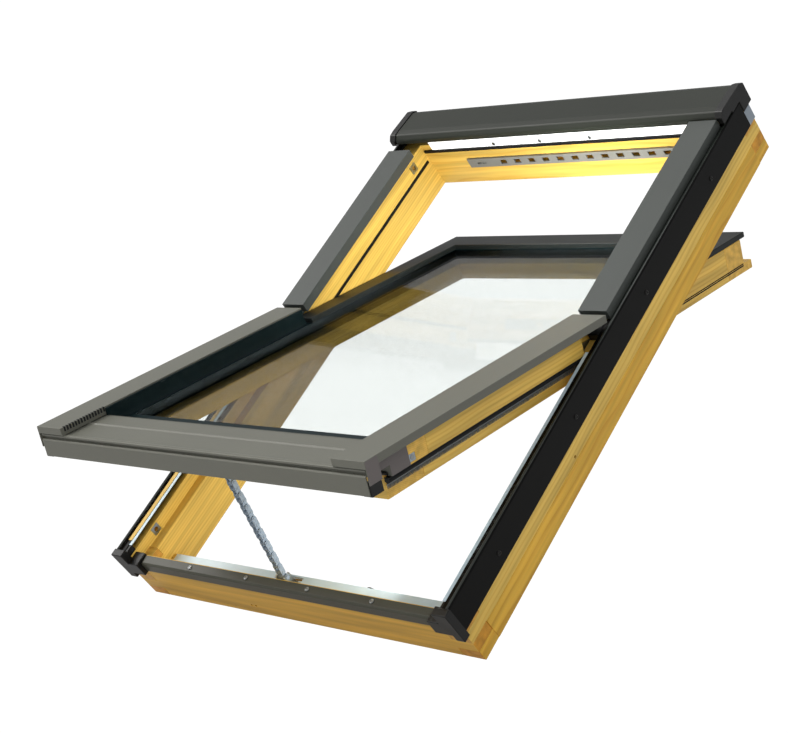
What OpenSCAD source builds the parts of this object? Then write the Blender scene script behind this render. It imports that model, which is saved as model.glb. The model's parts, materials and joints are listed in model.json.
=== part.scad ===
// Centre-pivot roof skylight: timber frame and sash, metal covers, double glazing,
// push-chain opener in the bottom rail and a sliding air inlet in the top rail.
// Sizes in mm. The window is drawn flat (x across, y up the slope, z out of the roof)
// and then set at the roof pitch. The origin is the middle of the bottom rail's room face.

/* [Overall] */
// Outside width over the side covers
frame_width = 780; // [650:1:936]
// Outside length of the timber frame along the slope
frame_length = 1100; // [916:1:1320]
// Pitch of the roof the frame is set in, degrees
roof_pitch = 45; // [15:1:75]
// Opening angle of the sash at rest, degrees
sash_open = 26.85; // [12:0.05:26.85]

/* [Frame timber] */
// Thickness of the frame stiles across the window
stile_thick = 42; // [36:0.5:48]
// Width of the bottom rail along the slope
bottom_rail = 60; // [56:0.5:66]
// Width of the top rail along the slope
top_rail = 56; // [48:0.5:66]
// Height of the timber from the room face to its top
timber_top = 104; // [98:0.5:112]
// Height of the side ledges the sash closes on
ledge_height = 81; // [78:0.5:84]
// Height of the ledge on the bottom rail
bottom_ledge = 43; // [41:0.5:44]
// Height of the front of the bottom rail
sill_height = 94; // [90:0.5:98]
// Width of the side ledge
ledge_width = 19; // [15:0.5:22]
// Fingers in each corner joint
joint_fingers = 5; // [3:2:7]

/* [Covers] */
// Sheet thickness of all metal covers
sheet = 1.6; // [1.0:0.1:2.0]
// Height where the side covers start
cover_low = 69; // [60:0.5:74]
// Height of the ridge along the side covers
ridge_height = 122; // [119:0.5:122.5]
// Height of the top face of the grey covers
cover_top = 137; // [134:0.5:142]
// Width of the grey covers on the upper half
upper_cover_width = 57; // [48:0.5:57]
// Height of the top of the hood
hood_top = 147; // [145:0.5:160]
// Depth of the hood along the slope
hood_depth = 88; // [76:1:100]

/* [Sash] */
// Gap between the sash and the frame
sash_gap = 3; // [2.5:0.1:4]
// Width of the sash timber across
sash_timber = 58; // [50:0.5:66]
// Height of the room face of the sash above the room face of the frame
sash_low = 46; // [45.5:0.5:50]
// Width of the sash bottom rail along the slope
sash_rail = 80; // [74:0.5:84]
// Thickness of each pane
pane_thick = 4; // [3:0.5:5]
// Width of the cavity between the panes
cavity = 16; // [14:0.5:18]
// Overhang of the sash cover below the frame
drip = 37; // [32:0.5:45]

/* [Pivot and opener] */
// Diameter of the pivot pins
pivot_pin = 12; // [10:0.5:14]
// Radial play of every turning or sliding pin
play = 0.05; // [0.02:0.01:0.1]
// Position of the push chain across the window
chain_x = -35; // [-60:1:60]
// Pitch of the chain links
chain_pitch = 12.5; // [10:0.5:16]
// Length of the opener body
opener_length = 360; // [320:1:400]
// Travel of the locking bolts
bolt_travel = 12; // [8:0.5:12]

/* [Air inlet] */
// Number of air slots
inlet_slots = 12; // [6:1:12]
// Spacing of the air slots
slot_pitch = 35; // [30:0.5:35]
// Travel of the inlet shutter
shutter_travel = 14; // [10:0.5:14]

/* [Hidden] */
$fn = 40;

W = frame_width / 2;            // outer face of the side covers
L = frame_length;
xo = W - 2;                     // outer face of the timber
xi = xo - stile_thick;          // inner face of the stiles
xr = xi + ledge_width;          // rebate wall of the lower half
yb0 = 2;                        // front of the bottom rail
yb1 = yb0 + bottom_rail;        // inner face of the bottom rail
ybl = 21;                       // start of the bottom ledge
yt1 = L - 2;                    // back of the top rail
yt0 = yt1 - top_rail;           // inner face of the top rail
jw = 42;                        // depth of the corner joints
yp = L / 2 + 5;                 // pivot along the slope
zp = 78;                        // pivot height
y_ledge = yp - 50;              // end of the side ledges
y_flange = y_ledge - 12;        // end of the sash flanges
xs = xi - sash_gap;             // side of the sash
xf = xr - sash_gap;             // side of the sash flange
flange_z = ledge_height + 3;    // underside of the sash flange
flange_top = 120;               // top of the sash flange
sx = xs - sash_timber;          // inner side of the sash stiles
ys0 = ybl + 7;                  // front of the sash bottom rail
ysi = ys0 + sash_rail;          // inner side of the sash bottom rail
yst = yt0 - 40;                 // back of the sash top rail
ysl = yst + 24;                 // back of its lip
ysj = yst - 54;                 // inner side of the sash top rail
body_top = 78;                  // glazing ledge of the sash timber
pz0 = body_top + 2;             // inner face of the inner pane
pz1 = pz0 + 2 * pane_thick + cavity;
px = xs - 11;                   // half width of the panes
py0 = ysi - 33;                 // lower edge of the panes
py1 = yst - 11;                 // upper edge of the panes
gz = pz1 + 2;                   // top of the outer gasket
prof_top = gz + 10;             // top of the dark upper profiles
cw = W - 6;                     // outer side of the sash covers
ci = xs - 25;                   // inner side of the sash covers
uo = W - 11;                    // outer side of the upper grey covers
ui = uo - upper_cover_width;    // inner side of the upper grey covers
yc_end = yp - 18;               // upper end of the sash covers
yu0 = yp + 20;                  // lower end of the upper grey covers
hy0 = yt0 - 22;                 // front of the hood
hy1 = hy0 + hood_depth;
yu1 = hy0 - 0.4;                // upper end of the upper grey covers
cby1 = 59;                      // inner edge of the sash bottom cover
low_top = flange_top + 3;       // top of the sash bottom cover
// push chain: both ends lie on one circle about the pivot, so it turns half as fast
br_y = 44;                      // link pin on the closed sash
br_z = 75;
rr = norm([yp - br_y, zp - br_z]);
ex_z = br_z - 12;               // where the chain leaves the opener
ex_y = yp - sqrt(rr * rr - (zp - ex_z) * (zp - ex_z));
turn = sash_open + atan2(zp - ex_z, yp - ex_y) - atan2(zp - br_z, yp - br_y);
chord = 2 * rr * sin(turn / 2);
lean = turn / 2 - atan2(zp - ex_z, yp - ex_y);
links = floor((chord - 20) / chain_pitch);
// opener: its body lies in a trough under the bottom ledge
op0 = chain_x - opener_length / 2;
op1 = chain_x + opener_length / 2;
opz0 = 9;                       // underside of the housing
opz1 = bottom_ledge - 6;        // top of the housing
drive_z = (opz0 + opz1) / 2 + 0.5;
gland_x = op1 - 20;
pocket = 26;                    // half width of the sash pocket over the chain
in0 = -245;                     // air inlet, left end
in1 = in0 + 76 + inlet_slots * slot_pitch + 24;
slot0 = in0 + 89;               // first slot
iz0 = 42;
iz1 = 64;
bolt_y = 75;
bolt_z = 93;
bolt_d = 8;

module place() rotate([roof_pitch, 0, 0]) translate([0, -(yb0 + yb1) / 2, 0]) children();
module on_sash() place() translate([0, yp, zp]) rotate([-sash_open, 0, 0])
  translate([0, -yp, -zp]) children();
module box(x0, x1, y0, y1, z0, z1) translate([x0, y0, z0]) cube([x1 - x0, y1 - y0, z1 - z0]);
module sided(s) { if (s > 0) children(); else mirror([1, 0, 0]) children(); }
module ring(x, y0, y1, w, z0, z1) difference() {
  box(-x, x, y0, y1, z0, z1);
  box(-x + w, x - w, y0 + w, y1 - w, z0 - 1, z1 + 1);
}
module rod_x(x0, x1, y, z, d) translate([x0, y, z]) rotate([0, 90, 0]) cylinder(h = x1 - x0, d = d);
module rod_y(y0, y1, x, z, d) translate([x, y0, z]) rotate([-90, 0, 0]) cylinder(h = y1 - y0, d = d);
module rod_z(z0, z1, x, y, d) translate([x, y, z0]) cylinder(h = z1 - z0, d = d);

// ---- screws: one list of places per face, used for the screws and for their holes
front_screws = [-0.62 * xi, -0.21 * xi, 0.21 * xi, 0.62 * xi];
front_y = 10;                   // place of the front screws along the slope
front_z = sill_height + 2.9;    // seat of their heads
apron_screws = [-0.45 * xi, -0.12 * xi, 0.22 * xi];
flank_screws = [0.12 * L, 0.36 * L, 0.6 * L, 0.84 * L];
module frame_holes(d) {
  for (x = front_screws) rod_z(sill_height - 18, front_z, x, front_y, d);
  for (x = apron_screws) rod_y(yt0 - 2, yt0 + 20, x, 98, d);
  for (s = [-1, 1]) for (y = flank_screws) sided(s) rod_x(xo - 20, W + 0.5, y, 90, d);
}
sash_screw_y = [0.17 * L, 0.29 * L, 0.41 * L];
module sash_holes(d) for (s = [-1, 1]) for (y = sash_screw_y)
  sided(s) rod_z(flange_top - 16, flange_top + 3, xs + 1, y, d);

// ---- frame timber
module fingers(y0, y1, parity) {
  h = timber_top / joint_fingers;
  for (i = [0 : joint_fingers - 1]) if (i % 2 == parity) box(xi, xo, y0, y1, i * h, (i + 1) * h);
}
module frame_stile(s) color("#E3BE6C") place() sided(s) difference() {
  union() {
    box(xi, xo, yb0 + jw, yt1 - jw, 0, timber_top);
    box(xo - 1, xo + 0.8, yb0 + jw, yt1 - jw, 0, 40);
    fingers(yb0, yb0 + jw, 0);
    fingers(yt1 - jw, yt1, 0);
  }
  box(xi - 1, xr, yb0 - 1, y_ledge, ledge_height, timber_top + 1);
  // recess and pin hole for the pivot plate
  box(xi - 1, xi + 3, yp - 45, yp + 45, zp - 20, zp + 20);
  rod_x(xi - 1, xi + 12, yp, zp, pivot_pin + 4);
  // keepers
  box(xr - 1, xr + 1, bolt_y - 9, bolt_y + 9, bolt_z - 8.5, bolt_z + 8.5);
  rod_x(xr - 1, xr + bolt_travel, bolt_y, bolt_z, bolt_d + 2.5);
  box(xi - 1, xi + 1, yst - 16, yst + 2, 77, 95);
  rod_x(xi - 1, xi + 12, yst - 7, 86, bolt_d + 2.5);
  // groove for the seal of the upper half
  box(xi - 1, xi + 1, yp + 60, yt0 - 6, 63.5, 69.5);
  // pilot hole and screw holes in the flank
  rod_x(xo - 9, xo + 2, 0.32 * L, 46, 5);
  sided(s) frame_holes(4);
}
module frame_stile_left() frame_stile(-1);
module frame_stile_right() frame_stile(1);
module frame_rail_bottom() color("#D9B05C") place() difference() {
  union() {
    box(-xi, xi, yb0, yb1, 0, bottom_ledge);
    box(-xi, xi, yb0, ybl, 0, sill_height);
    difference() {
      for (s = [-1, 1]) sided(s) fingers(yb0, yb0 + jw, 1);
      for (s = [-1, 1]) sided(s) box(xi - 1, xr, ybl, yb0 + jw + 1, ledge_height, timber_top + 1);
      for (s = [-1, 1]) sided(s) box(xi, xr, yb0 - 1, ybl + 1, ledge_height, timber_top + 1);
    }
  }
  // trough for the opener
  box(op0 - 4, op1 + 4, 8, 56, opz0 - 1, bottom_ledge + 1);
  box(op0 - 8, op1 + 8, 33, yb1 - 3, bottom_ledge - 2.4, bottom_ledge + 1);
  rod_y(50, yb1 + 1, gland_x, drive_z, 17);
  for (x = [-0.32, -0.29]) rod_y(yb0 - 1, yb0 + 9, x * xi, 24, 5);
  frame_holes(4);
}
module frame_rail_top() color("#E3BE6C") place() difference() {
  union() {
    box(-xi, xi, yt0, yt1, 0, timber_top);
    for (s = [-1, 1]) sided(s) fingers(yt1 - jw, yt1, 1);
  }
  // air channel behind the inlet, open to the outside under the hood
  box(in0 + 8, in1 - 8, yt0 - 1, yt0 + 14, iz0 + 3, iz1 - 3);
  box(slot0 - 10, in1 - 20, yt0 + 8, yt0 + 20, iz0 + 8, timber_top + 1);
  box(-xi - 1, xi + 1, yt0 - 1, yt0 + 1, 85.6, 91.4);
  frame_holes(4);
}

// ---- frame covers
module side_cover(s) color("#15150F") place() sided(s) difference() {
  translate([0, yt1 - 20, 0]) rotate([90, 0, 0]) linear_extrude(yt1 - 20 - 6) polygon([
    [W, cover_low], [W, ridge_height - 2], [W - 1.5, ridge_height], [W - 8, ridge_height],
    [W - 10, ridge_height - 4.5], [W - 19, ridge_height - 4.5], [W - 19, ridge_height - 6],
    [W - 9, ridge_height - 6], [W - 7, ridge_height - 1.6], [W - 2.4, ridge_height - 1.6],
    [xo, ridge_height - 2.6], [xo, cover_low]]);
  sided(s) frame_holes(4);
}
module side_cover_left() side_cover(-1);
module side_cover_right() side_cover(1);
module upper_cover(s) color("#5E625F") place() sided(s) {
  box(ui, uo, yu0, yu1, cover_top - sheet, cover_top);
  box(ui, ui + sheet, yu0, yu1, prof_top + 2, cover_top);
  box(uo - sheet, uo, yu0, yu1, ridge_height - 3.5, cover_top);
  box(xi + 4, xi + 4 + sheet, yu0, yu1, timber_top, cover_top);
  box(ui, uo, yu0, yu0 + sheet, ridge_height - 3.5, cover_top);
}
module upper_cover_left() upper_cover(-1);
module upper_cover_right() upper_cover(1);
module hood() color("#44483F") place() {
  hx = W - 14;
  translate([-hx, 0, 0]) rotate([90, 0, 90]) linear_extrude(2 * hx) polygon([
    [hy0, hood_top - 18], [hy0, hood_top - 8], [hy0 + 8, hood_top - 1], [hy0 + 20, hood_top],
    [hy1 - 10, hood_top - 3], [hy1, hood_top - 9], [hy1, timber_top - 20],
    [hy1 - sheet, timber_top - 20], [hy1 - sheet, hood_top - 9.5], [hy1 - 10.6, hood_top - 3 - sheet],
    [hy0 + 20, hood_top - sheet], [hy0 + 8.8, hood_top - 1 - sheet], [hy0 + sheet, hood_top - 8.8],
    [hy0 + sheet, hood_top - 16.4], [yt0 - 1.6, hood_top - 16.4], [yt0 - 1.6, hood_top - 18]]);
  for (x = [-0.8, -0.3, 0.3, 0.8]) box(x * xi - 8, x * xi + 8, yt0 + 30, hy1 - sheet,
    timber_top, timber_top + 1.6);
}
module hood_cap(s) color("#22231F") place() sided(s) difference() {
  translate([W - 14, 0, 0]) rotate([90, 0, 90]) linear_extrude(15) polygon([
    [hy0 - 2, hood_top - 20], [hy0 - 2, hood_top - 7], [hy0 + 7, hood_top + 1], [hy0 + 20, hood_top + 2],
    [hy1 - 9, hood_top - 1], [hy1 + 2, hood_top - 8], [hy1 + 2, timber_top - 4], [yt1 - 19, timber_top - 4],
    [yt1 - 19, ridge_height + 1], [hy0 + 3, ridge_height + 1]]);
  box(W - 15, xo, yt1 - 21, yt1, timber_top - 5, timber_top);
  box(W - 15, W + 2, hy0 - 3, yt0 + 9, ridge_height, hood_top - 20);
  box(W - 15, uo + 1, hy0 - 3, yt0 + 9, ridge_height, cover_top + 0.6);
}
module hood_cap_left() hood_cap(-1);
module hood_cap_right() hood_cap(1);
module flashings() color("#9AA7B2") place() for (s = [-1, 1]) sided(s) {
  box(xo, xo + sheet, yt1 - 19.4, yt1, cover_low, timber_top - 5);
  box(xo - 18, xo + sheet, yt1, yt1 + sheet, cover_low, timber_top - 5);
}
module apron_strip() color("#EEF1F2") place() difference() {
  union() {
    box(-ui + 2, ui - 2, yt0 - 1.6, yt0, 92, hood_top - 18);
    box(-ui + 2, ui - 2, yt0 - 1.6, yt0 + 12, timber_top, timber_top + 1.6);
  }
  box(slot0 - 12, in1 - 18, yt0 + 2, yt0 + 20, timber_top - 1, timber_top + 3);
  frame_holes(4);
}
module top_seal() color("#101412") place() box(-xi + 4, xi - 4, yt0 - 5, yt0 + 1, 85.6, 91.4);
module upper_seals() color("#101412") place() for (s = [-1, 1]) sided(s)
  box(xi - 2.4, xi + 1, yp + 60, yt0 - 6, 63.5, 69.5);
module bottom_cover() color("#4B4E4C") place() difference() {
  bx = xi - 6;
  t = sill_height;
  translate([-bx, 0, 0]) rotate([90, 0, 90]) linear_extrude(2 * bx) polygon([
    [0, 75], [0, t - 1], [3.4, t + 2], [18, t + 2.9], [18, t], [16.4, t], [16.4, t + 1.2],
    [4, t + 0.4], [2, t + 0.1], [2, 75]]);
  frame_holes(4);
}
module corner_block(s) color("#0E0E0D") place() sided(s) difference() {
  union() {
    box(xr - 1, W + 2, -8, 6, 72, ridge_height + 1);
    box(W - 16, W + 2, -8, 5.8, 60, 72);
    box(xr, W - 16, 6, 22, timber_top, 116);
    box(xi - 5.7, xr, -8, 20, 72, sill_height + 7);
  }
  box(xi - 6, xi, yb0, ybl, 0, sill_height);
  box(xi - 1, xr, yb0, ybl, 0, ledge_height);
  box(xr, xo + 1, yb0, yb1, 0, timber_top);
}
module corner_block_left() corner_block(-1);
module corner_block_right() corner_block(1);
module edge_strips() color("#C9DDE8") place() {
  for (s = [-1, 1]) sided(s) box(xr - 1.4, W - 19, 30, y_ledge, ridge_height - 6, ridge_height - 4.8);
  difference() {
    box(-xi + 8, xi - 8, yb1 - 18, yb1 - 0.8, bottom_ledge, bottom_ledge + 1.2);
    box(chain_x - 24, chain_x + 24, 33, 58, bottom_ledge - 1, bottom_ledge + 2);
  }
}
module hinge_caps() color("#141414") place() for (s = [-1, 1]) sided(s)
  box(xi + 2, W - 20, yc_end + 4, yu0 - 1, timber_top, prof_top + 2);
module keepers() color("#9FA3A1") place() for (s = [-1, 1]) sided(s) {
  difference() {
    box(xr - 0.8, xr + 1, bolt_y - 9, bolt_y + 9, bolt_z - 8.5, bolt_z + 8.5);
    rod_x(xr - 2, xr + 2, bolt_y, bolt_z, bolt_d + 1);
  }
  difference() {
    box(xi - 1.4, xi + 1, yst - 16, yst + 2, 77, 95);
    rod_x(xi - 3, xi + 2, yst - 7, 86, bolt_d + 1);
  }
}
module frame_screws() color("#B5B8B8") place() {
  for (x = front_screws) {
    rod_z(front_z, front_z + 2, x, front_y, 8);
    rod_z(sill_height - 14, front_z, x, front_y, 3.2);
  }
  for (x = apron_screws) {
    rod_y(yt0 - 3.6, yt0 - 1.6, x, 98, 8);
    rod_y(yt0 - 1.6, yt0 + 14, x, 98, 3.2);
  }
  for (s = [-1, 1]) for (y = flank_screws) sided(s) {
    rod_x(W, W + 1.6, y, 90, 8);
    rod_x(xo - 16, W, y, 90, 3.2);
  }
}

// ---- air inlet
module inlet_face() color("#A9A9A0") place() difference() {
  box(in0, in1, yt0 - 5, yt0, iz0, iz1);
  box(in0 + 10, in1 - 10, yt0 - 3.4, yt0 + 1, iz0 + 2.6, iz1 - 2.6);
  for (i = [0 : inlet_slots - 1]) box(slot0 + i * slot_pitch - 8, slot0 + i * slot_pitch + 8,
    yt0 - 6, yt0 - 3, iz0 + 6, iz1 - 6);
  box(in0 + 26, in0 + 32 + shutter_travel, yt0 - 6, yt0 - 3, iz0 + 9, iz1 - 9);
}
module inlet_shutter() color("#8D8D86") place() difference() {
  union() {
    box(in0 + 12, in1 - 11 - shutter_travel, yt0 - 3.2, yt0 - 1.8, iz0 + 2.8, iz1 - 2.8);
    box(in0 + 26.3, in0 + 31.7, yt0 - 9, yt0 - 3.2, iz0 + 9.2, iz1 - 9.2);
  }
  for (i = [0 : inlet_slots - 1]) box(slot0 + i * slot_pitch - 8, slot0 + i * slot_pitch + 8,
    yt0 - 4, yt0 - 1, iz0 + 6, iz1 - 6);
}

// ---- pivots
module hinge_frame(s) color("#8E9499") place() sided(s) difference() {
  union() {
    box(xi - sash_gap + 0.8, xi + 3, yp - 44, yp + 44, zp - 19, zp + 19);
    rod_x(xi + 3, xi + 9, yp, zp, pivot_pin + 3);
  }
  rod_x(xi - 5, xi + 10, yp, zp, pivot_pin + 2 * play);
}
module hinge_frame_left() hinge_frame(-1);
module hinge_frame_right() hinge_frame(1);
module hinge_sash(s) color("#7D8388") on_sash() sided(s) {
  box(xs - 3, xs + 0.2, yp - 40, yp + 40, zp - 17, zp + 17);
  rod_x(xs, xi + 9, yp, zp, pivot_pin);
}
module hinge_sash_left() hinge_sash(-1);
module hinge_sash_right() hinge_sash(1);

// ---- opener
module opener_housing() color("#C3C7C9") place() difference() {
  box(op0, op1, 9, 55, opz0, opz1);
  box(op0 + 2, op1 - 2, 11, 53, opz0 + 2, opz1 + 1);
  rod_y(50, 60, gland_x, drive_z, 12.6);
}
module opener_lid() color("#B4B9BB") place() difference() {
  union() {
    box(op0, op1, 9, 55, opz1, opz1 + 1.6);
    for (s = [-1, 1]) box(chain_x + s * 10.3 - 2, chain_x + s * 10.3 + 2, ex_y - 7, ex_y + 7,
      opz1 + 1, ex_z + 5);
  }
  box(chain_x - 8.3, chain_x + 8.3, ex_y - 7, ex_y + 7, opz1 - 1, opz1 + 3);
  rod_x(chain_x - 14, chain_x + 14, ex_y, ex_z, 8 + 2 * play);
}
module opener_motor() color("#5A5F63") place() {
  rod_x(op0 + 8, op0 + 108, 32, drive_z, 23);
  rod_x(op0 + 108, op0 + 122, 32, drive_z, 8);
  box(op0 + 20, op0 + 90, 26, 38, opz0 + 2, opz0 + 7);
}
module opener_gearbox() color("#33373A") place() difference() {
  box(op0 + 112, op0 + 158, 13, 51, opz0 + 2, opz1 - 2);
  rod_x(op0 + 111, op0 + 123, 32, drive_z, 9);
}
module opener_sprocket() color("#8A8F92") place() {
  rod_y(24, 40, chain_x + 14, drive_z, 18);
  for (a = [0 : 45 : 315]) translate([chain_x + 14, 26, drive_z]) rotate([0, a, 0])
    translate([-2, 0, 8]) cube([4, 12, 3.4]);
  rod_y(11, 53, chain_x + 14, drive_z, 8);
}
module opener_plate() color("#BFD0DA") place() difference() {
  box(op0 - 8, op1 + 8, 33, yb1 - 3, bottom_ledge - 2.4, bottom_ledge - 0.8);
  box(chain_x - 22, chain_x + 22, 33.2, 56, bottom_ledge - 3, bottom_ledge);
}
module cable_gland() color("#1B1C1D") place() difference() {
  union() {
    rod_y(51, yb1, gland_x, drive_z, 12);
    rod_y(yb1, yb1 + 7, gland_x, drive_z, 20);
    rod_y(55, 58, gland_x, drive_z, 16);
  }
  rod_y(50, yb1 + 8, gland_x, drive_z, 6);
}
// push chain, drawn straight up from the exit and then leaned onto the sash bracket
module chain() color("#A8B4BC") place() translate([chain_x, ex_y, ex_z]) rotate([-lean, 0, 0]) {
  rod_x(-11.8, 11.8, 0, 0, 8);
  for (s = [-1, 1]) box(s * 6.6 - 1, s * 6.6 + 1, -3, 3, 0, 12);
  for (i = [0 : links - 1]) {
    w = (i % 2 == 0) ? 4.4 : 6.6;
    z = 10 + i * chain_pitch;
    for (s = [-1, 1]) box(s * w - 1, s * w + 1, -4, 4, z - 3, z + chain_pitch + 3);
    rod_x(-7.6, 7.6, 0, z, 4);
    box(-4.4, 4.4, -2.6, 2.6, z + 2.6, z + chain_pitch - 2.6);
  }
  rod_x(-7.6, 7.6, 0, 10 + links * chain_pitch, 4);
  difference() {
    union() {
      box(-3.4, 3.4, -3.2, 3.2, links * chain_pitch + 4, chord);
      rod_x(-8, 8, 0, chord, 11);
    }
    rod_x(-9, 9, 0, chord, 6 + 2 * play);
  }
}
module chain_bracket() color("#9CA3A8") on_sash() {
  difference() {
    box(chain_x - 19, chain_x + 19, br_y - 9, br_y + 9, flange_z - 2.4, flange_z);
    for (x = [-15, 15]) rod_z(flange_z - 3, flange_z + 1, chain_x + x, br_y + 4, 3.4);
  }
  for (s = [-1, 1]) box(chain_x + s * 9.8 - 1.4, chain_x + s * 9.8 + 1.4, br_y - 5, br_y + 5,
    br_z - 5, flange_z - 2);
  rod_x(chain_x - 12.6, chain_x + 12.6, br_y, br_z, 6);
}

// ---- sash timber
module sash_rail_bottom() color("#E6C478") on_sash() difference() {
  union() {
    box(-xs, xs, ys0, ysi, sash_low, body_top);
    box(-xs, xs, ys0, py0 - 2, body_top, gz);
    box(-xf, xf, ys0, cby1, flange_z, flange_top);
    for (s = [-1, 1]) sided(s) box(px + 2, xs, py0 - 2, ysi, body_top, flange_z);
    for (s = [-1, 1]) sided(s) box(px + 2, xf, cby1, ysi, flange_z, flange_top);
  }
  for (s = [-1, 1]) sided(s) box(xf - 22, xf + 1, bolt_y - 7, bolt_y + 7, bolt_z - 6, bolt_z + 6);
  // pocket for the chain's end
  box(chain_x - pocket, chain_x + pocket, ys0 - 1, br_y + 16, sash_low - 1, flange_z);
}
module sash_stile(s) color("#E6C478") on_sash() sided(s) difference() {
  union() {
    box(sx, xs, ysi, ysj, sash_low, body_top);
    box(px + 2, xs, ysi, ysj, body_top - 1, gz);
    box(px + 2, xf, ysi, y_flange, flange_z, flange_top);
  }
  box(xs - 3, xs + 1, yp - 41, yp + 41, zp - 18, zp + 18);
  sided(s) sash_holes(4);
}
module sash_stile_left() sash_stile(-1);
module sash_stile_right() sash_stile(1);
module sash_rail_top() color("#E6C478") on_sash() union() {
  box(-xs, xs, ysj, yst, sash_low, body_top);
  box(-xs, xs, py1 + 2, yst, body_top - 1, gz);
  for (s = [-1, 1]) sided(s) box(px + 2, xs, ysj, yst, body_top - 1, gz);
  box(-xs, xs, yst - 1, ysl, sash_low, sash_low + 16);
}

// ---- glazing
module pane_outer() color([0.86, 0.93, 0.92, 0.3]) on_sash() box(-px, px, py0, py1, pz1 - pane_thick, pz1);
module pane_inner() color([0.86, 0.93, 0.92, 0.3]) on_sash() box(-px, px, py0, py1, pz0, pz0 + pane_thick);
module pane_spacer() color("#6A7074") on_sash()
  ring(px - 6, py0 + 6, py1 - 6, 11, pz0 + pane_thick, pz1 - pane_thick);
module gasket_outer() color("#04181A") on_sash() ring(px + 1, py0 - 1, py1 + 1, 28, pz1, gz);
module gasket_inner() color("#1A1C1B") on_sash() ring(px - 1, py0 + 4, py1 - 1, 12, body_top, pz0);

// ---- sash covers
module sash_cover(s) color("#767870") on_sash() sided(s) {
  box(ci, cw, -drip, yc_end, cover_top - sheet, cover_top);
  box(ci, ci + sheet, -drip, ys0 + 32, low_top, cover_top);
  box(ci, ci + sheet, cby1, yc_end, gz, cover_top);
  difference() {
    box(cw - sheet, cw, -drip, yc_end, 100, cover_top);
    box(cw - 3, cw + 1, -11, yc_end + 1, 99, ridge_height + 2);
  }
  box(xf - 10, xf - 8.4, cby1, y_flange, flange_top, cover_top);
  for (y = [-drip, yc_end - sheet]) box(ci, cw, y, y + sheet, ridge_height + 2.5, cover_top);
  // plate over the end of the flange timber
  box(xf, xf + sheet, ys0 - sheet, bolt_y - 9, flange_z + 1, cover_top - 1);
  box(xf - 20, xf + sheet, ys0 - sheet, ys0, flange_z + 1, low_top - sheet);
}
module sash_cover_left() sash_cover(-1);
module sash_cover_right() sash_cover(1);
module sash_cover_bottom() color("#70716A") on_sash() {
  t = low_top;
  hx = cw - 5;
  difference() {
    translate([-hx, 0, 0]) rotate([90, 0, 90]) linear_extrude(2 * hx) polygon([
      [-drip, 84], [-drip, t - 8], [-drip + 1, t - 6.6], [-drip + 4, t - 6], [-drip + 4, t - 2],
      [-drip + 5, t], [cby1, t], [cby1, t - sheet], [-drip + 6, t - sheet], [-drip + 5.6, t - 2],
      [-drip + 5.6, t - 7.6], [-drip + 1.6, t - 8.2], [-drip + 1.6, 84]]);
    for (s = [-1, 1]) sided(s) box(xf, cw, -11, cby1 + 1, 110, t + 2);
  }
  // two folded ridges between the side covers
  for (y = [-drip + 8, 22]) box(-ci, ci, y - 1.5, y + 1.5, t - 1, t + 0.9);
  // sloping inner leg down to the glass
  translate([-ci, 0, 0]) rotate([90, 0, 90]) linear_extrude(2 * ci) polygon([
    [cby1, t], [py0 + 6, gz], [py0 + 4, gz], [cby1 - 1, t - sheet]]);
}
module sash_end_caps() color("#0D0D0D") on_sash() for (s = [-1, 1]) sided(s)
  box(cw - 20, cw - 2, -drip + 1.6, -11, 82, 100);
module sash_profile_upper() color("#24292A") on_sash() {
  z1 = prof_top;
  for (s = [-1, 1]) sided(s) box(xs - 43, xs, yc_end + 3, ysj + 14, gz, z1);
  box(-xs, xs, ysj + 14, yst + 16, gz, z1);
}
module sash_seal() color("#0B0C0C") on_sash() {
  for (s = [-1, 1]) sided(s) box(xs, xf - 4, ys0 + 2, y_flange - 2, flange_z - 2.6, flange_z);
  box(-xf + 6, xf - 6, ys0 - 4, ys0 - sheet, flange_z + 2, flange_z + 8);
}
module sash_brush() color("#6E716F") on_sash() for (s = [-1, 1]) sided(s)
  box(xs, xs + 1.8, ys0 + 2, y_flange, body_top - 17, body_top - 9);

// ---- locking bolts
module bolt_guides() color("#7A7F82") on_sash() for (s = [-1, 1]) sided(s) difference() {
  box(xf - 22, xf - 1, bolt_y - 7, bolt_y + 7, bolt_z - 6, bolt_z + 6);
  rod_x(xf - 23, xf, bolt_y, bolt_z, bolt_d + 2 * play);
}
module bolt(s) color("#C2C6C8") on_sash() sided(s) rod_x(xf - 20, xf - 0.5, bolt_y, bolt_z, bolt_d);
module bolt_left() bolt(-1);
module bolt_right() bolt(1);
module sash_screws() color("#B5B8B8") on_sash() {
  for (s = [-1, 1]) for (y = sash_screw_y) sided(s) {
    rod_z(flange_top, flange_top + 2, xs + 1, y, 8);
    rod_z(flange_top - 12, flange_top, xs + 1, y, 3.2);
  }
  for (x = [-15, 15]) rod_z(flange_z - 4, flange_z - 2.4, chain_x + x, br_y + 4, 5.6);
}

frame_rail_bottom();
frame_rail_top();
frame_stile_left();
frame_stile_right();
side_cover_left();
side_cover_right();
upper_cover_left();
upper_cover_right();
hood();
hood_cap_left();
hood_cap_right();
flashings();
apron_strip();
top_seal();
upper_seals();
bottom_cover();
corner_block_left();
corner_block_right();
edge_strips();
inlet_face();
inlet_shutter();
hinge_frame_left();
hinge_frame_right();
hinge_caps();
keepers();
frame_screws();
opener_housing();
opener_lid();
opener_motor();
opener_gearbox();
opener_sprocket();
opener_plate();
cable_gland();
chain();
chain_bracket();
sash_rail_bottom();
sash_rail_top();
sash_stile_left();
sash_stile_right();
pane_outer();
pane_inner();
pane_spacer();
gasket_outer();
gasket_inner();
sash_cover_left();
sash_cover_right();
sash_cover_bottom();
sash_end_caps();
sash_profile_upper();
sash_seal();
sash_brush();
hinge_sash_left();
hinge_sash_right();
bolt_left();
bolt_right();
bolt_guides();
sash_screws();
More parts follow.
